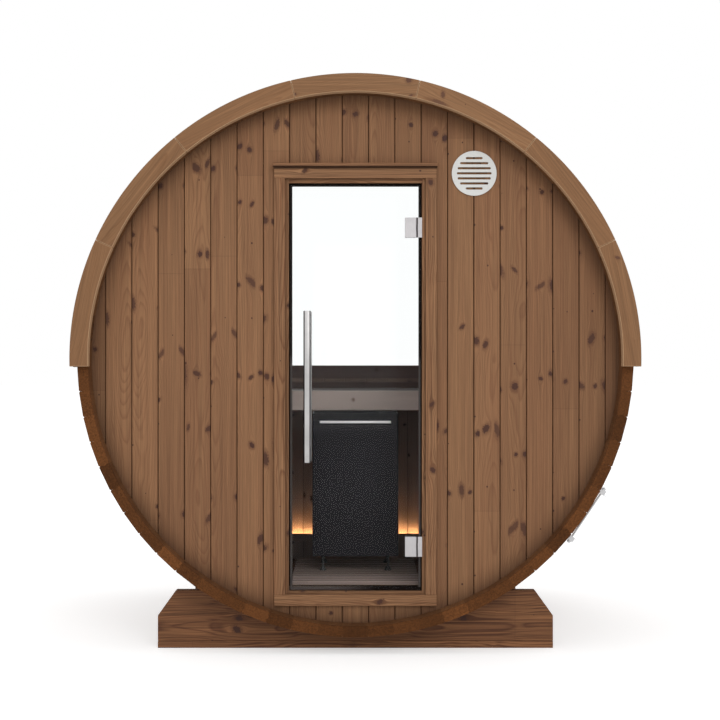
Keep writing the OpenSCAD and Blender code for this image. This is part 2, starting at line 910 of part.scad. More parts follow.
shell_bottom();
shell_left();
shell_right();
cradle_front();
cradle_rear();
ground_runners();
roof_boards();
fascia_front();
fascia_rear();
steel_bands();
band_tensioners();
front_wall_left();
front_wall_right();
front_wall_over_door();
front_wall_under_door();
back_wall_lower();
window_sill();
window_arch();
window_glass();
casing_sides();
casing_head();
casing_foot();
drip_cap();
jamb_sides();
jamb_head();
threshold();
door_seal();
door_glass();
door_handles();
hinge_glass_plates();
hinge_frame_leaves();
vent_grille();
vent_slider();
duckboard_slats();
duckboard_runners();
bench_slats();
bench_front_board();
bench_bearers();
bench_back_rail();
heater_body();
heater_stones();
heater_feet();
heater_bar();
light_ledge();
light_strip();
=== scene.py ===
"""Looks of the barrel sauna house: staves, roof, board walls, glass door, vent, window and the room."""

import json
import math

import bmesh
import bpy
import numpy as np
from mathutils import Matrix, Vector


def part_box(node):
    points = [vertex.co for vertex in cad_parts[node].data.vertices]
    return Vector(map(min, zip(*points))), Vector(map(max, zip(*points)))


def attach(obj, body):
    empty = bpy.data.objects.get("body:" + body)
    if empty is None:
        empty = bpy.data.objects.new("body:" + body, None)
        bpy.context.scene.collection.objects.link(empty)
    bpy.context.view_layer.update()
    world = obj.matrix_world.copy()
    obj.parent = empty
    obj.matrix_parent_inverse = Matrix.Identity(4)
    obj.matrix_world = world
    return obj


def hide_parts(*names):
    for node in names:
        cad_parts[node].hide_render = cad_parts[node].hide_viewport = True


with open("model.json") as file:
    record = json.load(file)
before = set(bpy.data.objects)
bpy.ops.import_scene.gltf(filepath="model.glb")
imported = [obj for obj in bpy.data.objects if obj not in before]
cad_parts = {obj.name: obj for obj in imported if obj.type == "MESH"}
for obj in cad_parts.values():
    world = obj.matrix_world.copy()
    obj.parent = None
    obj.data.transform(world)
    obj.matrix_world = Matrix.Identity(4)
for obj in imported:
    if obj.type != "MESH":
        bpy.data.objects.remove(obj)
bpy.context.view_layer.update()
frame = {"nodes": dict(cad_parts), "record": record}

# ---- Sizes that the boxes of the nodes don't give, in metres ----

STAVES = 67
STAVE_THICK = 0.045
STAVE_GROOVE = 0.012
STAVE_V = 0.0036
STAVE_GAP = 0.00006
BEAD_RADIUS = 0.009
BEAD_BULGE = 0.004
BOTTOM_STAVES = 7
ROOF_BOARDS = 36
ROOF_THICK = 0.020
ROOF_V = 0.0028
ROOF_BEAD = 0.0022
ROOF_GAP = 0.0003
ROOF_LIFT = 0.0006
FASCIA_BOARDS = 7
FASCIA_JOINT = 0.0004
FASCIA_LAP = 0.004
WALL_PITCH = 0.1064
WALL_SLOT = 0.0005
WALL_CHAMFER = 0.0027
WALL_TONGUE = 0.009
RIM_OFF = 0.0004
NARROWEST = 0.002
DUCT_RADIUS = 0.050
DOOR_GAP = 0.006
SIDE_REVEAL = 0.014
FOOT_REVEAL = 0.012
HEAD_REVEAL = 0.018
OUTER_HANDLE_HALF = 0.0145
HANDLE_HALF_DEPTH = 0.010
POST_OFF_MIDDLE = 0.210
POST_RADIUS = 0.008
COLLAR_RADIUS = 0.0105
COLLAR_HEIGHT = 0.0045
BAND_HALF = 0.015
BAND_THICK = 0.001
DAMPER_SUNK = 0.004
SEAT = 0.0003
TINY = 1e-6

TAU = 2 * math.pi

# The bands' two ends, in degrees from the barrel's underside towards +X
BAND_FIRST = 61.7
BAND_LAST = 50.2

# How much the boards of one kind differ in tone
STAVE_TONE = 0.1
ROOF_TONE = 0.075
FASCIA_TONE = 0.03
BOARD_TONE = 0.05

wall_r = -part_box("front_wall_left")[0].x
axis_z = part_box("front_wall_over_door")[1].z - wall_r
barrel_r = axis_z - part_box("shell_bottom")[0].z
stave_in_r = barrel_r - STAVE_THICK
barrel_front, barrel_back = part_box("shell_bottom")[0].y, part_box("shell_bottom")[1].y
wall_front, wall_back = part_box("front_wall_left")[0].y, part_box("front_wall_left")[1].y
pane_low, pane_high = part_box("door_glass")
casing_out_x, casing_low_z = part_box("casing_sides")[1].x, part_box("casing_foot")[0].z
casing_in_x = pane_high.x + DOOR_GAP + SIDE_REVEAL
casing_in_low_z = pane_low.z - DOOR_GAP - FOOT_REVEAL
casing_in_top_z = pane_high.z + DOOR_GAP + HEAD_REVEAL
cap_low_z, cap_top_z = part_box("drip_cap")[0].z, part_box("drip_cap")[1].z
handle_middle_x = (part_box("door_handles")[0].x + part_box("door_handles")[1].x) / 2
hinge_axis_x = frame["record"]["behaviour"]["joints"][0]["pos_m"][0]
duck_top_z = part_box("duckboard_slats")[1].z
heater_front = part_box("heater_body")[0].y
heater_rim_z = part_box("heater_body")[1].z


# ---- Shapes ----


class Shape:
    """Points, faces and values at the points, such as a board's own coordinates."""

    def __init__(self, points, faces, **values):
        self.points = points
        self.faces = faces
        self.values = values


def joined(shapes):
    """Several shapes as one: their points in one list, with the faces counted on."""
    faces, start = [], 0
    for shape in shapes:
        faces += [[start + corner for corner in face] for face in shape.faces]
        start += len(shape.points)
    points = np.concatenate([shape.points for shape in shapes])
    names = shapes[0].values
    return Shape(points, faces, **{n: np.concatenate([s.values[n] for s in shapes]) for n in names})


def volume(points, faces):
    """Signed volume under faces of one size: a sixth of the sum of centre . (corner x next corner)."""
    corners = points[faces]
    following = np.roll(corners, -1, axis=1)
    area = np.cross(corners, following).sum(axis=1) / 2
    return (corners.mean(axis=1) * area).sum() / 3


def lofted(rings, **values):
    """Closed solids. rings[s, k, p] is point p of ring k of solid s: each ring is joined to the next by
    quads, and a face closes the first ring and the last. The shade is a value and the others are vectors.
    Each has the rings' shape, or spreads to it."""
    solids, count, around = rings.shape[:3]
    index = np.arange(solids * count * around).reshape(solids, count, around)
    here, there = index[:, :-1], index[:, 1:]
    quads = np.stack([here, np.roll(here, -1, 2), np.roll(there, -1, 2), there], axis=-1).reshape(-1, 4)
    caps = np.concatenate([index[:, 0, ::-1], index[:, -1]])
    points = rings.reshape(-1, 3)
    if volume(points, quads) + volume(points, caps) < 0:
        quads, caps = quads[:, ::-1], caps[:, ::-1]
    for name, value in values.items():
        size = () if name == "shade" else (3,)
        values[name] = np.broadcast_to(value, (solids, count, around, *size)).reshape(-1, *size)
    return Shape(points, quads.tolist() + caps.tolist(), **values)


def tube_of(rings):
    """A closed tube: ring k is joined to ring k + 1, and the last ring has to be the first again."""
    count, around = len(rings) - 1, rings.shape[1]
    index = np.arange(count * around).reshape(count, around)
    there = np.roll(index, -1, axis=0)
    quads = np.stack([index, np.roll(index, -1, 1), np.roll(there, -1, 1), there], axis=-1).reshape(-1, 4)
    points = rings[:-1].reshape(-1, 3)
    if volume(points, quads) < 0:
        quads = quads[:, ::-1]
    return Shape(points, quads.tolist())


def turned(centre, direction, radii, steps, sides=32):
    """A turned solid: circles of the given radii around centre + step * direction, closed at both ends."""
    along = np.array(direction, float)
    along /= np.linalg.norm(along)
    side = np.cross(along, [0.0, 0.0, 1.0] if abs(along[2]) < 0.9 else [1.0, 0.0, 0.0])
    side /= np.linalg.norm(side)
    up = np.cross(along, side)
    turn = np.linspace(0, TAU, sides, endpoint=False)
    circle = np.cos(turn)[:, None] * side + np.sin(turn)[:, None] * up
    radii, steps = np.array(radii, float), np.array(steps, float)
    rings = np.array(centre, float) + radii[:, None, None] * circle + steps[:, None, None] * along
    return lofted(rings[None])


def soft_rod(centre, direction, radius, start, end, soft):
    """A rod whose two ends are rounded over a quarter circle of radius soft."""
    quarter = np.linspace(0, math.pi / 2, 5)
    ease, rise = radius - soft + soft * np.sin(quarter), soft * (1 - np.cos(quarter))
    radii = np.concatenate([ease, ease[::-1]])
    steps = np.concatenate([start + rise, (end - rise)[::-1]])
    return turned(centre, direction, radii, steps)


def rounded_outline(half_x, half_y, corner):
    """Corners of a rectangle rounded by quarter circles, counterclockwise, as x and y."""
    turn = np.linspace(0, math.pi / 2, 6)
    parts = []
    for quarter, (sx, sy) in enumerate(((1, 1), (-1, 1), (-1, -1), (1, -1))):
        angles = turn + quarter * math.pi / 2
        middle = np.array([sx * (half_x - corner), sy * (half_y - corner)])
        parts.append(middle + corner * np.stack([np.cos(angles), np.sin(angles)], axis=-1))
    return np.concatenate(parts)


def eased_levels(low, high, eased):
    """Levels of a solid from low to high, both ends eased alike by pairs of a rise from the end and how much
    the half sides are shortened there."""
    levels = [(low + rise, short) for rise, short in eased]
    return levels + [(high - rise, short) for rise, short in eased[::-1]]


def stacked(middle, half, levels, corner_at):
    """Rounded rectangles one over the other as one solid. A level is a height and how much the half sides
    are shortened there, and corner_at gives the corners' radius for that."""
    rings = []
    for z, short in levels:
        flat = rounded_outline(half[0] - short, half[1] - short, corner_at(short)) + np.array(middle)
        rings.append(np.column_stack([flat, np.full(len(flat), z)]))
    return lofted(np.array(rings)[None])


def cad_shape(node):
    """A copy of a CAD node's mesh, with its doubles merged and its flat triangles joined into whole faces."""
    work = bmesh.new()
    work.from_mesh(frame["nodes"][node].data)
    bmesh.ops.remove_doubles(work, verts=work.verts, dist=1e-5)
    bmesh.ops.dissolve_limit(work, angle_limit=math.radians(0.4), verts=work.verts, edges=work.edges)
    work.verts.index_update()
    points = np.array([corner.co for corner in work.verts])
    faces = [[corner.index for corner in face.verts] for face in work.faces]
    work.free()
    return Shape(points, faces)


def islands(shape):
    """The number of the separate solid that each point belongs to: neighbours take their lower number
    until nothing changes."""
    pairs = [(face[k - 1], face[k]) for face in shape.faces for k in range(len(face))]
    one, other = np.array(pairs).T
    label = np.arange(len(shape.points))
    while True:
        lower = np.minimum(label[one], label[other])
        before = label.copy()
        np.minimum.at(label, one, lower)
        np.minimum.at(label, other, lower)
        if (label == before).all():
            return np.unique(label, return_inverse=True)[1]


# ---- Boards and their own coordinates ----


def new_boards(count, draw, tone_spread):
    """For each of some boards: a random shift along the grain, and its tree, which is where the middle of
    the trunk lay, across and below its face, and the board's own tone."""
    shift = draw.uniform(0, 60, count)
    across = draw.uniform(-0.12, 0.12, count)
    below = draw.uniform(0.018, 0.075, count)
    tone = draw.normal(0.0, tone_spread, count)
    return shift, np.stack([across, below, tone], axis=-1)


def cad_boards(node, seed):
    """A CAD wood node's shape, each point's board by number, and that board's shift and tree."""
    shape = cad_shape(node)
    label = islands(shape)
    shift, tree = new_boards(label.max() + 1, np.random.default_rng(seed), BOARD_TONE)
    shape.values = {"tree": tree[label], "shade": np.zeros(len(label))}
    return shape, label, shift[label]


def timber(node, along, seed):
    """A CAD wood node as boards: each solid's own middle, its wider side across and its thinner side deep,
    with the grain along the given axis, 0 for X, 1 for Y and 2 for Z."""
    shape, label, shift = cad_boards(node, seed)
    points = shape.points
    low = np.full((label.max() + 1, 3), np.inf)
    high = -low
    np.minimum.at(low, label, points)
    np.maximum.at(high, label, points)
    size = (high - low)[0]
    deep, across = sorted((axis for axis in range(3) if axis != along), key=lambda axis: size[axis])
    off_middle = points - ((low + high) / 2)[label]
    place = [off_middle[:, across], points[:, deep] - low[label, deep], points[:, along] + shift]
    shape.values["place"] = np.stack(place, axis=-1)
    shape.values["axis"] = np.broadcast_to(np.eye(3)[along], points.shape)
    return shape


def arc_timber(node, seed):
    """A CAD node of curved boards around the barrel's axis: the grain of each runs along its chord."""
    shape, label, shift = cad_boards(node, seed)
    deep = shape.points[:, 1] - shape.points[:, 1].min()
    flat = shape.points[:, [0, 2]] - [0.0, axis_z]
    middle = np.stack([np.bincount(label, flat[:, k]) / np.bincount(label) for k in range(2)], axis=-1)
    reach = np.linalg.norm(middle, axis=1, keepdims=True)
    outward = (middle / reach)[label]
    chord = np.stack([-outward[:, 1], outward[:, 0]], axis=-1)
    across = (flat * outward).sum(axis=1) - reach[label, 0]
    along = (flat * chord).sum(axis=1) + shift
    shape.values["place"] = np.stack([across, deep, along], axis=-1)
    shape.values["axis"] = np.stack([chord[:, 0], np.zeros(len(label)), chord[:, 1]], axis=-1)
    return shape


# ---- Putting a shape into the scene ----


def linked(name, data):
    """A new object of some data, in the scene."""
    made = bpy.data.objects.new(name, data)
    bpy.context.scene.collection.objects.link(made)
    return made


def add_piece(name, shape, body, finish, slot, stands_for=(), bevel=0.0, segments=2, smooth=True):
    """Makes a mesh object of a shape with its finish, softens its edges, and lets it ride on a body."""
    mesh = bpy.data.meshes.new(name)
    mesh.from_pydata(shape.points.tolist(), [], shape.faces)
    mesh.update()
    for value_name in ("place", "tree", "shade"):
        if value_name in shape.values:
            value = shape.values[value_name]
            kind, field = ("FLOAT_VECTOR", "vector") if value.ndim == 2 else ("FLOAT", "value")
            attribute = mesh.attributes.new("board_" + value_name, kind, "POINT")
            attribute.data.foreach_set(field, value.astype(np.float32).ravel())
    if "axis" in shape.values:
        mark_end_grain(mesh, shape.values["axis"])
    mesh.materials.append(finish)
    if smooth:
        mesh.shade_smooth()
        mesh.set_sharp_from_angle(angle=math.radians(32))
    piece = linked(name, mesh)
    if bevel:
        soften(piece, bevel, segments)
    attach(piece, body)
    if stands_for:
        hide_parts(*stands_for)
    return piece


def face_normals(mesh):
    """The normals of a mesh's faces, one row each."""
    normals = np.zeros(len(mesh.polygons) * 3)
    mesh.polygons.foreach_get("normal", normals)
    return normals.reshape(-1, 3)


def mark_end_grain(mesh, axis):
    """A face is end grain, 1, where its normal lies along its board's grain, and 0 elsewhere."""
    starts = np.zeros(len(mesh.polygons), int)
    mesh.polygons.foreach_get("loop_start", starts)
    corners = np.zeros(len(mesh.loops), int)
    mesh.loops.foreach_get("vertex_index", corners)
    lean = np.abs((face_normals(mesh) * axis[corners[starts]]).sum(axis=1))
    attribute = mesh.attributes.new("board_end", "FLOAT", "FACE")
    attribute.data.foreach_set("value", (lean > 0.6).astype(np.float32))


def soften(piece, width, segments):
    """Rounds a piece's edges over the given width."""
    bevel = piece.modifiers.new("soft edges", "BEVEL")
    bevel.width = width
    bevel.segments = segments
    bevel.limit_method = "ANGLE"
    bevel.angle_limit = math.radians(32)
    bevel.harden_normals = True
    bevel.use_clamp_overlap = True


# ---- Nodes ----


class Wire:
    """What a shader node gives, on its way to the next one. A sum, product or comparison of wires adds a
    math node, so that a formula is written as it is read."""

    def __init__(self, pencil, socket):
        self.pencil = pencil
        self.socket = socket

    def math(self, operation, *others, clamp=False):
        return self.pencil.math(operation, self, *others, clamp=clamp)

    def __add__(self, other):
        return self.math("ADD", other)

    def __sub__(self, other):
        return self.math("SUBTRACT", other)

    def __rsub__(self, other):
        return self.pencil.math("SUBTRACT", other, self)

    def __mul__(self, other):
        return self.math("MULTIPLY", other)

    def __truediv__(self, other):
        return self.math("DIVIDE", other)

    def __lt__(self, other):
        return self.math("LESS_THAN", other)

    def __gt__(self, other):
        return self.math("GREATER_THAN", other)

    def __abs__(self):
        return self.math("ABSOLUTE")

    def most(self, other):
        """The larger of the two."""
        return self.math("MAXIMUM", other)

    def spread(self, low, high, to_low=0.0, to_high=1.0, easing="LINEAR"):
        """The values from low to high laid over those from to_low to to_high, and held at both ends."""
        sources = dict(enumerate((self, low, high, to_low, to_high)))
        return self.pencil.placed("ShaderNodeMapRange", sources, interpolation_type=easing)

    def between(self, at_zero, at_one):
        """A share from 0 to 1 laid over two other values."""
        return self.spread(0.0, 1.0, at_zero, at_one)

    def fade(self, low, high):
        """A smooth fall from 1 at low to 0 at high."""
        return self.spread(low, high, 1.0, 0.0, "SMOOTHSTEP")


class Pencil:
    """Adds shader nodes to one tree. Each call gives the wire that the next call takes."""

    def __init__(self, tree):
        self.tree = tree

    def node(self, kind, **settings):
        made = self.tree.nodes.new(kind)
        for name, value in settings.items():
            setattr(made, name, value)
        return made

    def feed(self, socket, source):
        if isinstance(source, Wire):
            source = source.socket
        if isinstance(source, bpy.types.NodeSocket):
            self.tree.links.new(source, socket)
        else:
            socket.default_value = source

    def placed(self, kind, sources, output=0, **settings):
        """A new node with its inputs fed, by name or number, and the wire of one of its outputs."""
        made = self.node(kind, **settings)
        for name, source in sources.items():
            self.feed(made.inputs[name], source)
        return Wire(self, made.outputs[output])

    def math(self, operation, *sources, clamp=False):
        return self.placed("ShaderNodeMath", dict(enumerate(sources)), operation=operation, use_clamp=clamp)

    def vector(self, operation, a, b=(0.0, 0.0, 0.0)):
        return self.placed("ShaderNodeVectorMath", {0: a, 1: b}, operation=operation)

    def length(self, vector):
        return self.placed("ShaderNodeVectorMath", {0: vector}, "Value", operation="LENGTH")

    def split(self, vector):
        made = self.node("ShaderNodeSeparateXYZ")
        self.feed(made.inputs[0], vector)
        return [Wire(self, output) for output in made.outputs]

    def merge(self, x, y, z):
        return self.placed("ShaderNodeCombineXYZ", {0: x, 1: y, 2: z})

    def noise(self, at, scale, detail=2.0, roughness=0.5):
        sources = {"Vector": at, "Scale": scale, "Detail": detail, "Roughness": roughness}
        return self.placed("ShaderNodeTexNoise", sources, "Fac")

    def chance(self, x, y, z):
        """Three even random numbers for each whole place."""
        sources = {"Vector": self.merge(x, y, z)}
        return self.split(self.placed("ShaderNodeTexWhiteNoise", sources, "Color", noise_dimensions="3D"))

    def ramp(self, value, stops):
        """Grey values along a ramp, as pairs of place and value."""
        made = self.node("ShaderNodeValToRGB")
        elements = made.color_ramp.elements
        while len(elements) < len(stops):
            elements.new(0.5)
        for element, (place, grey) in zip(elements, stops):
            element.position = place
            element.color = (grey, grey, grey, 1.0)
        self.feed(made.inputs[0], value)
        return Wire(self, made.outputs[0])

    def mix(self, factor, a, b, kind="MIX"):
        sources = {"Factor": factor, "A": a, "B": b}
        return self.placed("ShaderNodeMix", sources, "Result", data_type="RGBA", blend_type=kind)

    def dimmed(self, colour, light):
        """A colour times a light."""
        return self.mix(1.0, colour, self.merge(light, light, light), "MULTIPLY")

    def attribute(self, name, kind="Vector"):
        return self.placed("ShaderNodeAttribute", {}, kind, attribute_name=name)

    def here(self):
        """Where the point lies in the house, in metres, as one vector."""
        return self.placed("ShaderNodeTexCoord", {}, "Object")

    def place(self):
        """Where the point lies in the house, as x, y and z."""
        return self.split(self.here())

    def axis_distance(self):
        """How far the point lies from the barrel's axis."""
        x, _, z = self.place()
        return self.length(self.merge(x, 0.0, z - axis_z))

    def dress(self, made, **sources):
        """Feeds a node's inputs by their names, with _ for each blank."""
        for name, source in sources.items():
            self.feed(made.inputs[name.replace("_", " ")], source)

    def use(self, group, **sources):
        """One placed copy of a node group, dressed. Gives its outputs by name."""
        made = self.node("ShaderNodeGroup", node_tree=group)
        self.dress(made, **sources)
        return {output.name: Wire(self, output) for output in made.outputs}


def new_group(name, vectors, values, outputs):
    """An empty node group. Its inputs are some vectors and some values, and its outputs are values. Gives
    its pencil, its inputs as wires by name, and its output sockets."""
    tree = bpy.data.node_groups.new(name, "ShaderNodeTree")
    for label in vectors:
        tree.interface.new_socket(name=label, in_out="INPUT", socket_type="NodeSocketVector")
    for label in values:
        tree.interface.new_socket(name=label, in_out="INPUT", socket_type="NodeSocketFloat")
    for label in outputs:
        tree.interface.new_socket(name=label, in_out="OUTPUT", socket_type="NodeSocketFloat")
    pencil = Pencil(tree)
    given = {socket.name: Wire(pencil, socket) for socket in pencil.node("NodeGroupInput").outputs}
    return pencil, given, pencil.node("NodeGroupOutput").inputs


def emptied(owner):
    """The pencil of a material or world, with no nodes yet."""
    owner.use_nodes = True
    owner.node_tree.nodes.clear()
    return Pencil(owner.node_tree)


def new_surface(name):
    """A material with a Principled shader. Gives the material, its pencil and the shader."""
    material = bpy.data.materials.new(name)
    pencil = emptied(material)
    shader = pencil.node("ShaderNodeBsdfPrincipled")
    pencil.surface = pencil.node("ShaderNodeOutputMaterial").inputs["Surface"]
    pencil.feed(pencil.surface, shader.outputs[0])
    return material, pencil, shader


def bumped(pencil, shader, height, strength, distance):
    """Lets a height raise the surface by up to a distance in metres."""
    sources = {"Strength": strength, "Distance": distance, "Height": height}
    pencil.feed(shader.inputs["Normal"], pencil.placed("ShaderNodeBump", sources))


def linear(colour):
    """A colour written as 0 to 255 for a screen, as the linear light that a shader takes."""
    values = []
    for value in colour:
        share = value / 255
        values.append(share / 12.92 if share <= 0.04045 else ((share + 0.055) / 1.055) ** 2.4)
    return (*values, 1.0)


# ---- Wood ----

KNOT_CELL = 0.05
KNOT_FLOW = 2.4
CLEAR_ROWS = 0.14
PIN_WIDE = 0.055
PIN_LONG = 0.17
PIN_DRAWN = 0.14
PIN_CHANCE = 0.14
JOINTED_LENGTH = 2.6
WOOD_ROUGH = 0.62


def knot_group():
    """Knots in rows, as the whorls of branches leave them. The board is cut into cells, 50 mm across and a
    row's pitch along, and each cell may hold one knot: an ellipse turned by a random angle, now and then a
    long pale one where a branch was cut along. One row in seven is clear. The grain is bent round a knot as
    water flows round a post: a line at distance d moves by d * R^2 / (d^2 + (along / 2.4)^2)."""
    values = ["Row pitch", "Chance", "Size"]
    pencil, given, out = new_group("knots in rows", ["Place"], values, ["Core", "Halo", "Bend"])
    across, _, along = pencil.split(given["Place"])
    rows = along / given["Row pitch"]
    cells = across / KNOT_CELL
    row = rows.math("FLOOR")
    cell = cells.math("ROUND")
    row_shift, row_held, row_size = pencil.chance(row, 3.0, 5.0)
    shift_across, shift_along, there = pencil.chance(row, cell, 11.0)
    angle, length, girth = pencil.chance(row, cell, 23.0)
    darkness = pencil.chance(row, cell, 37.0)[0]

    # How far this point lies from its cell's knot, across and along, in metres
    in_cell = cells - cell
    away = (in_cell - shift_across.between(-0.27, 0.27)) * KNOT_CELL
    past = rows - row - 0.5 - row_shift.between(-0.3, 0.3) - shift_along.between(-0.035, 0.035)
    past = past * given["Row pitch"]

    # The knot's own ellipse, with a ragged edge
    turn = angle.between(-1.15, 1.15)
    cosine, sine = turn.math("COSINE"), turn.math("SINE")
    short = away * cosine + past * sine
    long = past * cosine - away * sine
    lengthwise = length.math("POWER", 3.0)
    stretch = lengthwise * 2.4 + 1.1
    girth = girth * row_size.between(0.35, 1.0)
    radius = given["Size"] * girth.math("POWER", 1.4).between(0.34, 1.0)
    ragged = pencil.noise(given["Place"], 150.0, 2.0, 0.6).between(-0.8, 0.8)
    reach = pencil.length(pencil.merge(short, long / stretch, 0.0)) / radius + ragged

    # Whether the cell has a knot at all, fading out towards the cell's sides
    room = abs(in_cell).fade(0.34, 0.5)
    held = (there < given["Chance"]) * (row_held > CLEAR_ROWS) * room
    darkness = darkness.between(0.8, 1.0) * (1.0 - lengthwise * 0.4)
    pencil.feed(out["Core"], reach.fade(0.88, 1.16) * held * darkness)
    pencil.feed(out["Halo"], reach.fade(0.9, 2.3) * held)

    # The bend of the grain
    wide = radius * 1.35
    wide = wide * wide
    eased = past / KNOT_FLOW
    spot = (away * away + eased * eased).most(wide)
    pencil.feed(out["Bend"], away * wide / spot * held)
    return pencil.tree


def pin_knot_group():
    """Pin knots: small dark dots of 4 to 8 mm at the points of a Voronoi pattern, where a random number
    lets them be. The pattern is drawn longer along the board, and the distance is turned back into metres,
    a little short along the board, so that the dots are longer than wide."""
    pencil, given, out = new_group("pin knots", ["Place"], ["Chance"], ["Dot"])
    flat = pencil.vector("MULTIPLY", given["Place"], (1 / PIN_WIDE, 0.0, 1 / PIN_LONG))
    points = pencil.node("ShaderNodeTexVoronoi", voronoi_dimensions="3D", feature="F1")
    pencil.feed(points.inputs["Vector"], flat)
    pencil.feed(points.inputs["Scale"], 1.0)
    gap = pencil.vector("SUBTRACT", points.outputs["Position"], flat)
    gap = pencil.vector("MULTIPLY", gap, (PIN_WIDE, 0.0, PIN_DRAWN))
    there, girth, _ = pencil.split(points.outputs["Color"])
    reach = pencil.length(gap) / girth.between(0.0018, 0.0040)
    pencil.feed(out["Dot"], reach.fade(0.6, 1.35) * (there < given["Chance"]))
    return pencil.tree


def ring_group():
    """Year rings of a trunk that the board was cut from. Each point's distance from the trunk's wandering
    middle is divided by the width of a ring, and the fraction rises slowly to the dark late wood and drops
    sharply. Cut lengthwise it gives flames and straight lines, and on an end it gives arcs."""
    values, outputs = ["Bend", "Ring width"], ["Late", "Streak", "Fibre"]
    pencil, given, out = new_group("year rings", ["Place", "Tree"], values, outputs)
    across, deep, along = pencil.split(given["Place"])
    middle, below, _ = pencil.split(given["Tree"])
    slow = pencil.merge(along, middle, below)
    wander = pencil.noise(slow, 1.7, 1.0)
    sway = pencil.noise(pencil.vector("ADD", slow, (31.0, 7.0, 3.0)), 1.1, 1.0)
    middle = middle + wander.spread(0.2, 0.8, -0.03, 0.03)
    below = below + sway.spread(0.2, 0.8, -0.035, 0.035)
    straight = across - given["Bend"]
    uneven = pencil.noise(pencil.merge(straight, deep, along * 0.09), 34.0, 2.0, 0.55)
    distance = pencil.length(pencil.merge(straight - middle, deep + below, 0.0))
    distance = distance + uneven.between(-0.0022, 0.0022)
    lean_years = pencil.noise(pencil.merge(distance, middle, 0.0), 90.0, 1.0)
    years = distance / given["Ring width"] + lean_years * 1.8
    late = pencil.ramp(years.math("FRACT"), ((0.0, 0.0), (0.5, 0.12), (0.86, 1.0), (1.0, 0.1)))
    streaks = pencil.merge(straight, deep, along * 0.012)
    fibres = pencil.merge(straight, deep, along * 0.02)
    pencil.feed(out["Late"], late)
    pencil.feed(out["Streak"], pencil.noise(streaks, 150.0, 4.0, 0.7))
    pencil.feed(out["Fibre"], pencil.noise(fibres, 900.0, 2.0, 0.5))
    return pencil.tree


def board_tint_group():
    """Board to board colour: the board's own tone, slow patches, warm stripes of heartwood, and the
    lengths that it is finger-jointed from, each a little lighter or darker, with a fine line between them."""
    outputs = ["Tone", "Warmth", "Joint"]
    pencil, given, out = new_group("board tint", ["Place", "Tree"], ["Length"], outputs)
    lengths = pencil.split(given["Place"])[2] / given["Length"]
    number = lengths.math("FLOOR")
    lighter, warmer, _ = pencil.chance(number, 1.0, 2.0)
    patches = pencil.noise(pencil.vector("MULTIPLY", given["Place"], (1.0, 1.0, 0.25)), 9.0)
    stripes = pencil.noise(pencil.vector("MULTIPLY", given["Place"], (1.0, 1.0, 0.03)), 30.0)
    tone = pencil.split(given["Tree"])[2] + lighter.between(-0.035, 0.035) + patches.between(-0.06, 0.06)
    warmth = patches * 0.4 + warmer * 0.75
    warmth = warmth.math("ADD", stripes.spread(0.3, 0.7, -0.35, 0.45), clamp=True)
    near = (lengths - number).math("PINGPONG", 0.5) * given["Length"]
    pencil.feed(out["Tone"], tone)
    pencil.feed(out["Warmth"], warmth)
    pencil.feed(out["Joint"], near.spread(0.0004, 0.0014, 1.0, 0.0))
    return pencil.tree


def rim_painted_shade(pencil):
    """Painted shade where the end wall meets the staves: 1 at their inner face, fading to 0 over 90 mm
    inwards.
    """
    return pencil.axis_distance().spread(stave_in_r - 0.09, stave_in_r).math("POWER", 2.0)


def outline_distance(pencil, half_width, bottom, top):
    """How far a point lies outside an upright rectangle around the door, in metres, and below 0 inside it."""
    x, _, z = pencil.place()
    return (z - top).most(bottom - z).most(abs(x) - half_width)


def wall_painted_shade(pencil):
    """Painted shade: the rim's, and a dark line on the front wall along the casing's outer edge, where the
    casing stands out from it.
    """
    away = outline_distance(pencil, casing_out_x, casing_low_z, cap_top_z)
    front = pencil.place()[1] < wall_back
    return rim_painted_shade(pencil).most(front * away.spread(0.001, 0.006, 0.75, 0.0))


def trim_painted_shade(pencil):
    """Painted shade in the door's frame: its corners, where the jambs meet the casing, fading over 13 mm, and
    the groove under the drip cap, on the casing's upper edge and the cap's underside."""
    _, y, z = pencil.place()
    inside = outline_distance(pencil, casing_in_x, casing_in_low_z, casing_in_top_z) * -1.0
    corner = inside.spread(-0.001, 0.013, 0.42, 0.0) * (y > wall_front - 0.001)
    below_cap = cap_low_z - z
    groove = below_cap.spread(0.0045, 0.010, 1.0, 0.0) * below_cap.spread(-0.0025, -0.0012)
    return corner.most(groove)


def fascia_painted_highlight(pencil):
    """Painted highlight on the fascia's inner edge: 1 there, 0 on its face."""
    return pencil.axis_distance().spread(stave_in_r - 0.0028, stave_in_r - 0.0012, 1.0, 0.0)


def slat_painted_shade(pencil):
    """Painted shade on the duckboard: 1 on the slats' sides from just under their top face, and the slats
    darken towards the heater, from 0 at 0.13 m behind the wall to 0.66 under its front."""
    _, y, z = pencil.place()
    side = (duck_top_z - z).spread(0.0004, 0.0012)
    return side.most(y.spread(wall_back + 0.13, heater_front, 0.0, 0.66))


def room_painted_shade(pencil):
    """Painted shade on the inner faces of the staves: 0.6 outside the end walls and 0.8 in the room, 0 on all
    other faces.
    """
    inner = pencil.axis_distance() < stave_in_r + 0.004
    past_wall = abs(pencil.place()[1]) > -wall_front
    return inner * past_wall.between(0.8, 0.6)


wood_knots = knot_group()
wood_pins = pin_knot_group()
wood_rings = ring_group()
wood_tint = board_tint_group()


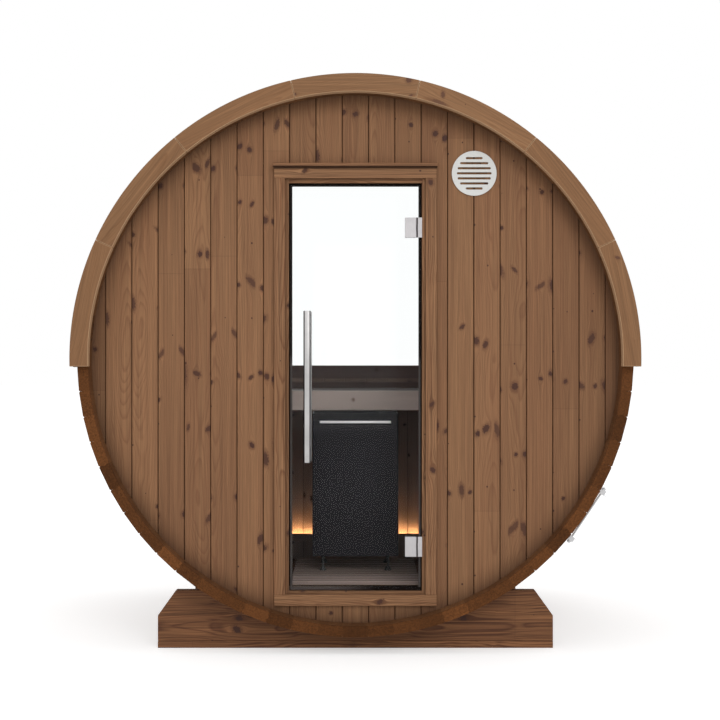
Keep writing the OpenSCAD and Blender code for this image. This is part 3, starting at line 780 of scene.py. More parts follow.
def wood(
    name,
    pale,
    late,
    knot,
    end,
    row_pitch=0.38,
    knot_chance=0.5,
    knot_size=0.013,
    ring_width=0.0042,
    late_share=0.45,
    streak_share=0.55,
    shade_colour=(50, 30, 19),
    painted_light=None,
    painted_light_share=0.0,
    specular=0.2,
):
    """One wood finish. Its early wood is pale, its late wood, knots and end grain have their own colours, and
    the shade that gathers in joints has another. A given mask paints shade, and on the fascia a highlight, in
    that last colour."""
    material, pencil, shader = new_surface(name)
    pale, late_wood, shaded = linear(pale), linear(late), linear(shade_colour)
    place = pencil.attribute("board_place")
    trunk = pencil.attribute("board_tree")
    ends = pencil.attribute("board_end", "Fac")
    shade = pencil.attribute("board_shade", "Fac")
    knots = pencil.use(wood_knots, Place=place, Row_pitch=row_pitch, Chance=knot_chance, Size=knot_size)
    pins = pencil.use(wood_pins, Place=place, Chance=PIN_CHANCE)
    rings = pencil.use(wood_rings, Place=place, Tree=trunk, Bend=knots["Bend"], Ring_width=ring_width)
    tint = pencil.use(wood_tint, Place=place, Tree=trunk, Length=JOINTED_LENGTH)

    # Side grain
    base = pencil.mix(tint["Warmth"], pale, pencil.mix(0.5, pale, late_wood))
    grain = pencil.mix(rings["Late"] * late_share, base, late_wood)
    light = rings["Streak"].spread(0.25, 0.75, 1.0 - 0.2 * streak_share, 1.0 + 0.2 * streak_share)
    light = light * rings["Fibre"].spread(0.2, 0.8, 0.93, 1.07) * (tint["Tone"] + 1.0)
    flame = [0.55 * a + 0.45 * b for a, b in zip(late, knot)]
    grain = pencil.mix(knots["Halo"] * 0.55, pencil.dimmed(grain, light), linear(flame))
    heart = knots["Core"].most(pins["Dot"])
    grain = pencil.mix(heart * 0.93, grain, linear(knot))
    grain = pencil.mix(tint["Joint"] * 0.3, grain, linear(knot))

    # End grain, the dark of the joints, and painted light from a mask
    rough_end = rings["Streak"].spread(0.3, 0.7, 0.55, 1.4) * (tint["Tone"] * 2.0 + 1.0)
    cut = pencil.dimmed(pencil.mix(rings["Late"] * 0.35, linear(end), shaded), rough_end)
    shade = shade * (1.0 - ends * 0.9)
    # Painted shade, and on the fascia painted highlight, in the joints' colour
    if painted_light:
        shade = shade.most(painted_light(pencil) * painted_light_share)
    colour = pencil.mix(shade, pencil.mix(ends, grain, cut), shaded)
    gloss = rings["Streak"].between(WOOD_ROUGH - 0.08, WOOD_ROUGH + 0.1) - heart * 0.12
    pencil.dress(shader, Base_Color=colour, Roughness=gloss, Specular_IOR_Level=specular)
    bumped(pencil, shader, rings["Late"] * 0.5 + rings["Fibre"] * 0.4 - heart * 0.6, 0.35, 0.0006)
    return material


# ---- Other finishes ----

# The dark that the metals' masks paint: painted shade in the hinges' slit and a painted reflection on the
# handle's sides
PAINTED_METAL_DARK = (26, 22, 22)
DIODE_PITCH = 0.0083


def brushed_group():
    """Fine scratches along one axis with a few smudges: noise squeezed across the brushing, in metres."""
    pencil, given, out = new_group("brushed metal", ["Squeeze"], [], ["Scratch", "Smudge"])
    drawn = pencil.vector("MULTIPLY", pencil.here(), given["Squeeze"])
    pencil.feed(out["Scratch"], pencil.noise(drawn, 1.0, 3.0, 0.6))
    pencil.feed(out["Smudge"], pencil.noise(pencil.here(), 14.0, 3.0, 0.55))
    return pencil.tree


def speckle_group():
    """A fine and a coarse noise at one place, for moulded, coated and broken surfaces."""
    pencil, given, out = new_group("speckle", [], ["Fine scale", "Coarse scale"], ["Fine", "Coarse"])
    pencil.feed(out["Fine"], pencil.noise(pencil.here(), given["Fine scale"], 2.0, 0.55))
    pencil.feed(out["Coarse"], pencil.noise(pencil.here(), given["Coarse scale"], 3.0, 0.55))
    return pencil.tree


metal_brushed = brushed_group()
surface_speckle = speckle_group()


def hinge_painted_shade(pencil):
    """Painted shade for the slit between a hinge's two halves: a dark band 5 mm wide along the hinges' axis.
    """
    return abs(pencil.place()[0] - hinge_axis_x).spread(0.0018, 0.0034, 0.85, 0.0)


def handle_painted_reflection(pencil):
    """A painted dark reflection on the rounded sides of the outer handle's bar: 0 up to 5.7 mm from its edge,
    and 1 in the last 4 mm."""
    across, deep, _ = pencil.place()
    side = abs(across - handle_middle_x).spread(OUTER_HANDLE_HALF - 0.0057, OUTER_HANDLE_HALF - 0.0040)
    return side * (deep < pane_low.y)


def metal(name, colour, dark, rough, squeeze, metallic=1.0, painted_dark_mask=None):
    """Brushed metal with scratches across the squeezed axes, and painted dark, for shade and reflection,
    where a given mask says so.
    """
    material, pencil, shader = new_surface(name)
    brushed = pencil.use(metal_brushed, Squeeze=squeeze)
    scratch, smudge = brushed["Scratch"], brushed["Smudge"]
    share = scratch.spread(0.3, 0.7, 0.0, 0.35).math("ADD", smudge.spread(0.45, 0.8, 0.0, 0.4), clamp=True)
    shine = pencil.mix(share, linear(colour), linear(dark))
    if painted_dark_mask:
        shine = pencil.mix(painted_dark_mask(pencil), shine, linear(PAINTED_METAL_DARK))
    gloss = scratch.spread(0.25, 0.75, rough - 0.05, rough + 0.07) + smudge.spread(0.45, 0.8, 0.0, 0.08)
    pencil.dress(shader, Base_Color=shine, Metallic=metallic, Roughness=gloss)
    bumped(pencil, shader, scratch, 0.12, 0.0002)
    return material


def pane_shadow(pencil):
    """Painted shade on the pane's edge: in its upper half, and along the foot towards the hinges."""
    across, _, up = pencil.place()
    upper = up.spread(axis_z - 0.02, axis_z + 0.02, 0.0, 0.85)
    return upper.most((up < pane_low.z + 0.009) * across.spread(-0.08, 0.08))


def heater_top_painted_shade(pencil):
    """Painted shade at the top of the heater's casing: from 70 mm under its rim, fully in the last 25 mm."""
    return pencil.place()[2].spread(heater_rim_z - 0.07, heater_rim_z - 0.025)


def seal_foot_paler(pencil):
    """A paler lower strip of the door's seal, strongest at the handle's side and none at the hinges."""
    across, _, up = pencil.place()
    return (up < pane_low.z + 0.012) * across.spread(-0.12, 0.10, 0.9, 0.0)


def coated(
    name,
    colour,
    dusty,
    rough,
    fine=900.0,
    coarse=6.0,
    depth=0.0003,
    dust=0.3,
    specular=0.5,
    marked=None,
    mark=None,
):
    """Powder coat, rubber or moulded plastic: a fine pebbled surface with faint dusty patches, and with
    another colour where a given mask says so, such as painted shade."""
    material, pencil, shader = new_surface(name)
    speckle = pencil.use(surface_speckle, Fine_scale=fine, Coarse_scale=coarse)
    patches = speckle["Coarse"].spread(0.4, 0.75, 0.0, dust)
    share = patches + speckle["Fine"].spread(0.35, 0.65, 0.0, 0.12)
    coat = pencil.mix(share, linear(colour), linear(dusty))
    if marked:
        coat = pencil.mix(marked(pencil), coat, linear(mark))
    gloss = speckle["Fine"].spread(0.3, 0.7, rough - 0.05, rough + 0.05) + patches
    pencil.dress(shader, Base_Color=coat, Roughness=gloss, Specular_IOR_Level=specular)
    bumped(pencil, shader, speckle["Fine"], 0.3, depth)
    return material


def stone(name):
    """Split dark stone: blue-grey to brown-grey in patches, pale crystals, and a rough broken surface."""
    material, pencil, shader = new_surface(name)
    speckle = pencil.use(surface_speckle, Fine_scale=210.0, Coarse_scale=17.0)
    fine, coarse = speckle["Fine"], speckle["Coarse"]
    body = pencil.mix(coarse.spread(0.35, 0.65), linear((62, 61, 61)), linear((88, 82, 75)))
    crystals = pencil.mix(fine.spread(0.58, 0.7, 0.0, 0.5), body, linear((126, 123, 117)))
    pencil.dress(shader, Base_Color=crystals, Roughness=fine.spread(0.3, 0.7, 0.72, 0.92))
    bumped(pencil, shader, fine + coarse * 2.0, 0.7, 0.002)
    return material


def glass(name, tint):
    """Clear toughened glass: lamps shine through it, and wiping has left it faintly uneven in gloss."""
    material, pencil, shader = new_surface(name)
    shader.inputs["Metallic"].default_value = 0.0
    shader.inputs["Transmission Weight"].default_value = 1.0
    speckle = pencil.use(surface_speckle, Fine_scale=40.0, Coarse_scale=3.0)
    wiped = speckle["Coarse"].spread(0.4, 0.7, 0.0, 0.012)
    dim = (0.08, 0.08, 0.08, 1.0)
    pencil.dress(shader, Base_Color=linear(tint), IOR=1.5, Specular_Tint=dim, Roughness=wiped)
    clear = pencil.placed("ShaderNodeBsdfTransparent", {0: linear(tint)})
    lamp_ray = pencil.node("ShaderNodeLightPath").outputs["Is Shadow Ray"]
    both = pencil.placed("ShaderNodeMixShader", {0: lamp_ray, 1: shader.outputs[0], 2: clear})
    pencil.feed(pencil.surface, both)
    return material


def glowing(name, colour, strength):
    """The diffuser of a light strip: warm, with faint brighter spots where its diodes sit."""
    material, pencil, shader = new_surface(name)
    bright = pencil.place()[0].math("PINGPONG", DIODE_PITCH).spread(0.0, DIODE_PITCH, 1.0, 0.82)
    warm = pencil.mix(bright, linear((230, 150, 80)), linear(colour))
    pencil.dress(shader, Base_Color=warm, Emission_Color=warm, Emission_Strength=strength, Roughness=0.5)
    return material


# Each wood by its pale early wood, late wood, knots and end grain
stave_wood = wood(
    "stave wood",
    *((131, 92, 60), (98, 62, 38), (56, 36, 28), (101, 62, 33)),
    row_pitch=0.42,
    late_share=0.4,
    painted_light=room_painted_shade,
    painted_light_share=0.55,
    specular=0.06,
)
roof_wood = wood(
    "roof wood",
    *((139, 103, 70), (108, 74, 48), (64, 42, 33), (124, 86, 54)),
    row_pitch=0.45,
    late_share=0.4,
)
fascia_wood = wood(
    "fascia wood",
    *((145, 108, 76), (120, 83, 54), (84, 54, 42), (134, 98, 66)),
    row_pitch=0.24,
    knot_chance=0.42,
    ring_width=0.006,
    late_share=0.6,
    streak_share=1.5,
    # Its shade colour is pale: it paints highlights on the joints' ends and on the inner edge
    shade_colour=(186, 152, 118),
    painted_light=fascia_painted_highlight,
    painted_light_share=0.9,
)
wall_wood = wood(
    "wall wood",
    *((145, 107, 75), (108, 71, 49), (60, 34, 28), (120, 80, 52)),
    row_pitch=0.34,
    knot_chance=0.72,
    knot_size=0.0165,
    ring_width=0.0046,
    streak_share=1.7,
    late_share=0.5,
    painted_light=wall_painted_shade,
    painted_light_share=0.55,
)
trim_wood = wood(
    "trim wood",
    *((148, 110, 78), (104, 68, 45), (64, 38, 31), (124, 84, 56)),
    row_pitch=0.33,
    knot_chance=0.55,
    knot_size=0.0165,
    ring_width=0.0075,
    streak_share=2.6,
    late_share=0.85,
    painted_light=trim_painted_shade,
    painted_light_share=0.8,
)
cradle_wood = wood(
    "cradle wood",
    *((133, 92, 61), (80, 49, 33), (58, 36, 31), (102, 64, 40)),
    row_pitch=0.42,
    knot_chance=0.4,
    knot_size=0.030,
    ring_width=0.011,
    late_share=0.9,
    streak_share=3.4,
)
inside_wood = wood(
    "inside wood",
    *((142, 119, 110), (115, 93, 86), (60, 48, 46), (106, 86, 79)),
    knot_chance=0.6,
    shade_colour=(60, 45, 40),
    specular=0.05,
)
# A darker copy of the inside wood for the bench's top: painted shade
shaded_bench_top_wood = wood(
    "bench top wood painted shade",
    *((86, 71, 67), (70, 57, 53), (48, 38, 36), (74, 60, 55)),
    knot_chance=0.3,
    specular=0.05,
)
# A darker copy of the inside wood for the back rail and the window's sill: painted shade
shaded_rail_wood = wood(
    "rail wood painted shade",
    *((118, 99, 93), (94, 77, 72), (56, 44, 42), (90, 73, 67)),
    knot_chance=0.8,
    specular=0.05,
)
bench_wood = wood(
    "bench wood",
    *((208, 191, 182), (184, 166, 157), (128, 104, 92), (176, 152, 138)),
    knot_chance=0.05,
    specular=0.05,
)
duck_wood = wood(
    "duckboard wood",
    *((182, 163, 156), (156, 137, 129), (104, 84, 76), (92, 76, 70)),
    knot_chance=0.08,
    painted_light=slat_painted_shade,
    painted_light_share=0.85,
    specular=0.05,
)

# Each metal by its colour, its darker scratches, its roughness and how it is squeezed across the brushing
UPRIGHT_BRUSHING = (60.0, 60.0, 1400.0)
steel = metal(
    "polished steel bar", (187, 185, 184), (150, 148, 148), 0.34, UPRIGHT_BRUSHING, 1.0, handle_painted_reflection
)
satin_steel = metal("satin steel bar", (244, 242, 243), (222, 220, 221), 0.5, UPRIGHT_BRUSHING, 0.25)
bolt_steel = metal("bolt steel", (205, 205, 206), (176, 176, 178), 0.42, (60.0, 60.0, 900.0), 0.6)
band_steel = metal("band steel", (152, 153, 156), (100, 100, 104), 0.38, (30.0, 1500.0, 30.0))
hinge_steel = metal(
    "hinge steel", (186, 183, 184), (152, 150, 151), 0.36, (900.0, 900.0, 40.0), 1.0, hinge_painted_shade
)

# Each coat by its colour, its dusty patches and its roughness
vent_coat = coated("vent coat", (212, 212, 209), (188, 186, 181), 0.42, dust=0.12, coarse=16.0)
foot_coat = coated("foot coat", (30, 30, 31), (64, 62, 60), 0.5, dust=0.25, coarse=30.0)
black_rubber = coated(
    "black rubber",
    *((20, 14, 11), (32, 26, 23), 0.6),
    dust=0.2,
    coarse=10.0,
    specular=0.05,
    marked=seal_foot_paler,
    mark=(92, 79, 72),
)
# The pane's ground edge, grey with a painted highlight, and painted shade where the mask says so
ground_edge_and_highlight = coated(
    "pane edge and painted highlight",
    *((128, 118, 115), (138, 129, 126), 0.5),
    dust=0.2,
    coarse=12.0,
    specular=0.1,
    marked=pane_shadow,
    mark=(40, 33, 31),
)
heater_coat = coated(
    "heater coat",
    *((33, 31, 35), (44, 42, 45), 0.5),
    fine=420.0,
    coarse=3.5,
    depth=0.00008,
    dust=0.12,
    specular=0.08,
    marked=heater_top_painted_shade,
    mark=(23, 21, 24),
)
dark_stone = stone("split stone")
clear_glass = glass("clear glass", (254, 255, 255))
strip_glow = glowing("strip glow", (255, 211, 144), 44.0)


# ---- Barrel of staves and roof ----


def around(radius, angle):
    """A point at an angle from the barrel's underside towards +X, as x and z measured from its axis."""
    return np.stack([radius * np.sin(angle), -radius * np.cos(angle)], axis=-1)


def tangent(angle):
    """The direction in which the angle grows, as x and z."""
    return np.stack([np.cos(angle), np.sin(angle)], axis=-1)


def off_axis(flat, y):
    """Points of the house from their x and z measured from the barrel's axis, and a depth that spreads to
    their shape."""
    return np.stack([flat[..., 0], np.broadcast_to(y, flat.shape[:-1]), flat[..., 1] + axis_z], axis=-1)


def ring_of_boards(middles, step, outer, inner, stations, deeper, v_joint, bead, gap, draw, tone_spread):
    """Boards lying lengthwise around the barrel. Each has a flat outer and inner face, and its two sides
    lie in the planes midway to its neighbours, where a half-round bead of the given bulge enters the next
    board's cove. The outline is carried along Y through the stations, and its inner face is deeper by a
    groove's depth where the station says so. Place is across, below the outer face and along."""
    middles = np.asarray(middles)[:, None]
    inner_at = inner + np.asarray(deeper)[None, :]
    full = np.ones_like(inner_at)
    half = step / 2
    bulge = np.linspace(-1, 1, 7)
    bead_radii = (outer + inner) / 2 - bulge * min(BEAD_RADIUS, (outer - inner) * 0.3)
    bead_out = bead * np.sqrt(np.clip(1 - bulge**2, 0, 1))
    beads = list(zip(bead_radii, bead_out))

    def face_point(side):
        """On the flat outer face, a little short of the corner on one side."""
        reach = side * (outer * full * math.tan(half) - v_joint)
        return around(outer * full, middles) + reach[..., None] * tangent(middles)

    def side_point(radius, side, out=0.0):
        """In the plane shared with the neighbour on one side, pushed out of it along the tangent."""
        plane = middles + side * half
        return around(radius * full, plane) + (out - side * gap / 2) * tangent(plane)

    outline = [face_point(-1), face_point(1), side_point(outer - v_joint, 1)]
    outline += [side_point(radius, 1, out) for radius, out in beads]
    outline += [side_point(inner_at / math.cos(half), side) for side in (1, -1)]
    outline += [side_point(radius, -1, out) for radius, out in beads[::-1]]
    outline.append(side_point(outer - v_joint, -1))
    flat = np.stack(np.broadcast_arrays(*outline), axis=2)
    rings = off_axis(flat, np.asarray(stations)[:, None])
    shift, tree = new_boards(len(middles), draw, tone_spread)
    across = (flat * tangent(middles)[:, :, None]).sum(axis=-1)
    below = outer - (flat * around(1.0, middles)[:, :, None]).sum(axis=-1)
    place = np.stack([across, below, rings[..., 1] + shift[:, None, None]], axis=-1)

    # The outline's shade: dark at the feet of both V-joints and between the boards, faint at the inner face
    shade = np.zeros(flat.shape[2])
    shade[[2, -1]] = 0.85
    shade[3:-1] = 1.0
    shade[[10, 11]] = 0.25
    return lofted(rings, place=place, tree=tree[:, None, None], axis=(0.0, 1.0, 0.0), shade=shade)


STAVE_STEP = TAU / STAVES
FRONT_GROOVE = [
    (wall_front - SEAT, 0.0),
    (wall_front - SEAT, STAVE_GROOVE),
    (wall_back + SEAT, STAVE_GROOVE),
    (wall_back + SEAT, 0.0),
]
REAR_GROOVE = [(-y, deeper) for y, deeper in FRONT_GROOVE[::-1]]
STAVE_STATIONS = [(barrel_front, 0.0), *FRONT_GROOVE, *REAR_GROOVE, (barrel_back, 0.0)]


def staves(name, first, count, stands_for, seed):
    """Some of the barrel's staves, counted from the middle one at the bottom towards +X."""
    shape = ring_of_boards(
        (first + np.arange(count)) * STAVE_STEP,
        STAVE_STEP,
        barrel_r,
        stave_in_r,
        *zip(*STAVE_STATIONS),
        v_joint=STAVE_V,
        bead=BEAD_BULGE,
        gap=STAVE_GAP,
        draw=np.random.default_rng(seed),
        tone_spread=STAVE_TONE,
    )
    add_piece(name, shape, "house", stave_wood, "stave_wood", [stands_for], 0.0006, 1)


SIDE_STAVES = (STAVES - BOTTOM_STAVES) // 2
LOW_HALF = BOTTOM_STAVES // 2
staves("staves_bottom", -LOW_HALF, BOTTOM_STAVES, "shell_bottom", 11)
staves("staves_right", LOW_HALF + 1, SIDE_STAVES, "shell_right", 12)
staves("staves_left", -LOW_HALF - SIDE_STAVES, SIDE_STAVES, "shell_left", 13)


def roof():
    """The roof boards: flat boards around the upper half, each side's ends cut level below the axis."""
    low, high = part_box("roof_boards")
    outer = high.z - axis_z
    inner = outer - ROOF_THICK
    end = math.pi / 2 - math.asin((axis_z - low.z) / inner)
    step = (TAU - 2 * end) / ROOF_BOARDS
    shape = ring_of_boards(
        end + step * (np.arange(ROOF_BOARDS) + 0.5),
        step,
        outer * math.cos(step / 2),
        inner + ROOF_LIFT,
        (low.y, high.y),
        (0.0, 0.0),
        v_joint=ROOF_V,
        bead=ROOF_BEAD,
        gap=ROOF_GAP,
        draw=np.random.default_rng(21),
        tone_spread=ROOF_TONE,
    )
    add_piece("roof_boarding", shape, "house", roof_wood, "roof_wood", ["roof_boards"], 0.0006, 1)


roof()


def fascia(node, name, seed):
    """One curved fascia: boards sawn as parts of a ring, with a hairline between them and a painted highlight
    on their edges at it.
    The first and last board are cut level. The rectangle of their section is carried round in 26 steps."""
    low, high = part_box(node)
    outer, inner = high.z - axis_z, stave_in_r - FASCIA_LAP
    radii = np.array([inner, outer, outer, inner])
    depths = np.array([low.y, low.y, high.y, high.y])
    cut = math.pi / 2 - np.arcsin((axis_z - low.z) / radii)
    start = cut[1]
    step = (TAU - 2 * start) / FASCIA_BOARDS
    slip = FASCIA_JOINT / 2 / inner
    share = np.concatenate([[0.0, 0.008], np.linspace(0, 1, 25)[1:-1], [0.992, 1.0]])[:, None]
    # Painted highlight at the ends of each board, by the joints
    painted_joint_highlight = np.where((share < 0.001) | (share > 0.999), 0.9, 0.0)
    draw = np.random.default_rng(seed)
    boards = []
    for number in range(FASCIA_BOARDS):
        first = cut if number == 0 else start + number * step + slip
        last = TAU - cut if number == FASCIA_BOARDS - 1 else start + (number + 1) * step - slip
        flat = around(radii, first + (last - first) * share)
        middle = start + (number + 0.5) * step
        chord = tangent(middle)
        shift, tree = new_boards(1, draw, FASCIA_TONE)
        across = (flat * around(1.0, middle)).sum(axis=-1) - (inner + outer) / 2
        below = np.broadcast_to(depths - low.y, across.shape)
        place = np.stack([across, below, (flat * chord).sum(axis=-1) + shift[0]], axis=-1)
        rings = off_axis(flat, depths)[None]
        axis = (chord[0], 0.0, chord[1])
        boards.append(lofted(rings, place=place, tree=tree, axis=axis, shade=painted_joint_highlight))
    add_piece(name, joined(boards), "house", fascia_wood, "fascia_wood", [node], 0.0024, 3)


fascia("fascia_front", "front_fascia_boards", 31)
fascia("fascia_rear", "rear_fascia_boards", 32)


# ---- Walls of upright boards ----


def half_chord(radius, off, least=0.0):
    """Half the height of a circle at some places off its middle: the square root of radius^2 - off^2."""
    return np.sqrt(np.clip(radius**2 - off**2, least, None))


def disc_floor(x):
    """The lower half of an end wall's outline."""
    return axis_z - half_chord(wall_r, x, 1e-8)


def disc_ceiling(x):
    """The upper half of an end wall's outline."""
    return axis_z + half_chord(wall_r, x, 1e-8)


def upright_board(left, right, start, stop, floor, ceiling, near, far, tree, shift):
    """One upright board, or the part of it from start to stop, as rectangles lofted across its width. Its own
    two edges have a chamfer and a narrow slot to the next board on both faces. Floor and ceiling are curves
    in x. Place is across, below the face and up."""
    edge = np.array([0.0, WALL_SLOT, WALL_SLOT, WALL_CHAMFER])
    deep = np.array([WALL_TONGUE, WALL_TONGUE, 0.0042, 0.0])
    dark = np.array([0.9, 0.75, 0.4, 0.0])
    face = np.linspace(left + WALL_CHAMFER + 0.002, right - WALL_CHAMFER - 0.002, 11)
    x = np.concatenate([left + edge, face, (right - edge)[::-1]])
    sunk = np.concatenate([deep, np.zeros(11), deep[::-1]])
    dark = np.concatenate([dark, np.zeros(11), dark[::-1]])
    kept = (x > start + TINY) & (x < stop - TINY)
    first = [start] if start > left + TINY else []
    last = [stop] if stop < right - TINY else []
    if not first:
        kept[:4] = True
    if not last:
        kept[-4:] = True
    columns = np.concatenate([first, x[kept], last])
    sunk_at = np.concatenate([np.interp(first, x, sunk), sunk[kept], np.interp(last, x, sunk)])
    dark_at = np.concatenate([np.zeros(len(first)), dark[kept], np.zeros(len(last))])
    low, high = floor(columns), np.maximum(ceiling(columns), floor(columns) + 1e-4)
    inward = 1 if far > near else -1
    front, back = near + inward * sunk_at, far - inward * sunk_at * 0.45
    corners = [(front, low), (front, high), (back, high), (back, low)]
    rings = np.stack([np.stack([columns, y, z], axis=-1) for y, z in corners], axis=1)[None]
    place = (rings - ((left + right) / 2, near, -shift)) * (1, inward, 1)
    return lofted(rings, place=place, tree=tree, axis=(0.0, 0.0, 1.0), shade=dark_at[:, None])


class Opening:
    """A hole through a wall between two places in x, with its own floor and ceiling as curves in x."""

    def __init__(self, left, right, floor, ceiling, columns=()):
        self.left, self.right, self.floor, self.ceiling = left, right, floor, ceiling
        self.stops = [left, *columns, right]


def board_wall(span, near, far, openings, ceiling, seed):
    """Every upright board whose middle lies in the span, cut by the openings and the wall's own outline."""
    number = math.ceil(wall_r / WALL_PITCH + 0.5)
    draw = np.random.default_rng(seed)
    parts = []
    for k in range(-number, number + 1):
        shift, tree = new_boards(1, draw, BOARD_TONE)
        left, right = (k - 0.5) * WALL_PITCH, (k + 0.5) * WALL_PITCH
        begin, end = max(left, span[0], RIM_OFF - wall_r), min(right, span[1], wall_r - RIM_OFF)
        if end - begin < NARROWEST:
            continue
        left, right = max(left, RIM_OFF / 2 - wall_r), min(right, wall_r - RIM_OFF / 2)
        stops = sorted({begin, end, *(x for hole in openings for x in hole.stops if begin < x < end)})
        for start, stop in zip(stops, stops[1:]):
            middle = (start + stop) / 2
            floors, ceilings = [disc_floor], [ceiling]
            for hole in openings:
                if hole.left < middle < hole.right:
                    floors.append(hole.ceiling)
                    ceilings.insert(-1, hole.floor)
            for floor, top in zip(floors, ceilings):
                if top(np.array([middle]))[0] - floor(np.array([middle]))[0] > NARROWEST:
                    board = (left, right, start, stop, floor, top, near, far, tree, shift[0])
                    parts.append(upright_board(*board))
    return joined(parts)


hole_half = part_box("front_wall_right")[0].x
hole_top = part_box("front_wall_over_door")[0].z
hole_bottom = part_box("front_wall_under_door")[1].z
vent_low, vent_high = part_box("vent_grille")
vent_x, vent_z = (vent_low.x + vent_high.x) / 2, (vent_low.z + vent_high.z) / 2
sill_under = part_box("back_wall_lower")[1].z

door_hole = Opening(
    -hole_half, hole_half, lambda x: np.full_like(x, hole_bottom), lambda x: np.full_like(x, hole_top)
)
duct_hole = Opening(
    vent_x - DUCT_RADIUS,
    vent_x + DUCT_RADIUS,
    lambda x: vent_z - half_chord(DUCT_RADIUS, x - vent_x),
    lambda x: vent_z + half_chord(DUCT_RADIUS, x - vent_x),
    vent_x - DUCT_RADIUS * np.cos(np.linspace(0, math.pi, 17))[1:-1],
)

FRONT_WALL = [
    # piece, span, openings, nodes
    ("front_boards_left", (-2, -hole_half), [door_hole], ["front_wall_left"]),
    ("front_boards_right", (hole_half, 2), [door_hole, duct_hole], ["front_wall_right"]),
    (
        "front_boards_middle",
        (-hole_half, hole_half),
        [door_hole],
        ["front_wall_over_door", "front_wall_under_door"],
    ),
]
for piece, span, openings, nodes in FRONT_WALL:
    boards = board_wall(span, wall_front, wall_back, openings, disc_ceiling, 41)
    add_piece(piece, boards, "house", wall_wood, "wall_wood", nodes)


def weathered_side(piece, finish):
    """Gives the faces that look out of the back of the house an outer finish."""
    mesh = piece.data
    mesh.materials.append(finish)
    outside = face_normals(mesh)[:, 1] > 0.3
    mesh.polygons.foreach_set("material_index", outside.astype(np.int32))


def sill_ceiling(x):
    """The upper outline of the back wall's boards: the sill, and the wall's own outline beside it."""
    return np.minimum(disc_ceiling(x), sill_under)


back_boards = board_wall((-2, 2), -wall_front, -wall_back, [], sill_ceiling, 44)
back_wall = add_piece("back_boards", back_boards, "house", inside_wood, "inside_wood", ["back_wall_lower"])
weathered_side(back_wall, wall_wood)


# ---- Woodwork that keeps the CAD's shapes, with softened edges ----

WOODWORK = [
    # node, piece, grain axis (a number, or "arc"), finish, record slot, bevel, seed
    ("cradle_front", "front_cradle", 0, cradle_wood, "cradle_wood", 0.003, 51),
    ("cradle_rear", "rear_cradle", 0, cradle_wood, "cradle_wood", 0.003, 52),
    ("ground_runners", "cradle_runners", 0, cradle_wood, "cradle_wood", 0.002, 53),
    ("casing_sides", "side_casings", 2, trim_wood, "trim_wood", 0.0018, 54),
    ("casing_head", "head_casing", 0, trim_wood, "trim_wood", 0.0018, 55),
    ("casing_foot", "foot_casing", 0, trim_wood, "trim_wood", 0.0018, 56),
    ("drip_cap", "rain_cap", 0, trim_wood, "trim_wood", 0.0025, 57),
    ("jamb_sides", "side_jambs", 2, trim_wood, "trim_wood", 0.0015, 58),
    ("jamb_head", "head_jamb", 0, trim_wood, "trim_wood", 0.0015, 59),
    ("threshold", "door_threshold", 0, trim_wood, "trim_wood", 0.0015, 60),
    ("window_sill", "half_moon_sill", 0, shaded_rail_wood, "inside_wood", 0.002, 61),
    ("window_arch", "half_moon_arch", "arc", inside_wood, "inside_wood", 0.002, 62),
    ("vent_slider", "vent_slide_board", 2, inside_wood, "inside_wood", 0.002, 63),
    ("duckboard_slats", "duckboard_top", 0, duck_wood, "inside_wood", 0.002, 64),
    ("duckboard_runners", "duckboard_beams", 1, inside_wood, "inside_wood", 0.002, 65),
    ("bench_slats", "bench_top", 0, shaded_bench_top_wood, "inside_wood", 0.0025, 66),
    ("bench_front_board", "bench_front", 0, bench_wood, "inside_wood", 0.003, 67),
    ("bench_bearers", "bench_beams", 1, inside_wood, "inside_wood", 0.002, 68),
    ("bench_back_rail", "bench_rail", 0, shaded_rail_wood, "inside_wood", 0.002, 69),
    ("light_ledge", "glow_ledge", 0, inside_wood, "inside_wood", 0.002, 70),
]
for node, piece, along, finish, slot, bevel, seed in WOODWORK:
    boards = arc_timber(node, seed) if along == "arc" else timber(node, along, seed)
    wooden = add_piece(piece, boards, "house", finish, slot, [node], bevel)
    if node in ("window_sill", "window_arch"):
        weathered_side(wooden, trim_wood)


# ---- Steel bands and their tensioners ----


def steel_bands():
    """Each band is a strap with rounded edges, carried round the barrel's axis in 300 steps. It stops at the
    tensioner on the right."""
    low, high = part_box("steel_bands")
    inner = axis_z - low.z - BAND_THICK
    off_centre = high.y - BAND_HALF
    soft = BAND_THICK / 2
    bend = np.linspace(-math.pi / 2, math.pi / 2, 4)
    side_y = (BAND_HALF - soft) + soft * np.cos(bend)
    side_r = soft + soft * np.sin(bend)
    side_y, side_r = np.concatenate([side_y, -side_y]), np.concatenate([side_r, side_r[::-1]])
    first, last = math.radians(BAND_FIRST), math.radians(BAND_LAST + 360)
    flat = around((inner + side_r)[None, :], np.linspace(first, last, 301)[:, None])
    rings = np.stack([off_axis(flat, y + side_y) for y in (-off_centre, off_centre)])
    add_piece("barrel_bands", lofted(rings), "house", band_steel, "stainless", ["steel_bands"])


steel_bands()


def softened(node, name, body, finish, slot, bevel, segments=2):
    """A CAD node's own shape with rounded edges."""
    add_piece(name, cad_shape(node), body, finish, slot, [node], bevel, segments)


softened("band_tensioners", "band_bolts", "house", bolt_steel, "stainless", 0.0008)


# ---- Glass door and vent ----

softened("door_glass", "door_pane", "door", clear_glass, "clear_glass", 0.0008)
softened("window_glass", "half_moon_pane", "house", clear_glass, "clear_glass", 0.0008)
softened("door_seal", "door_gasket", "house", black_rubber, "black_rubber", 0.0008)
softened("hinge_glass_plates", "hinge_plates", "door", hinge_steel, "hinge_metal", 0.0009, 3)
softened("hinge_frame_leaves", "hinge_leaves", "house", hinge_steel, "hinge_metal", 0.0007, 3)


def flat_bar(x, y, low, high, half_x, half_y):
    """An upright bar of rectangular tube with rounded edges and slightly rounded ends."""
    levels = eased_levels(low, high, ((0.0, 0.0012), (0.0004, 0.0004), (0.0012, 0.0)))
    return stacked((x, y), (half_x, half_y), levels, lambda short: 0.004 - short / 2)


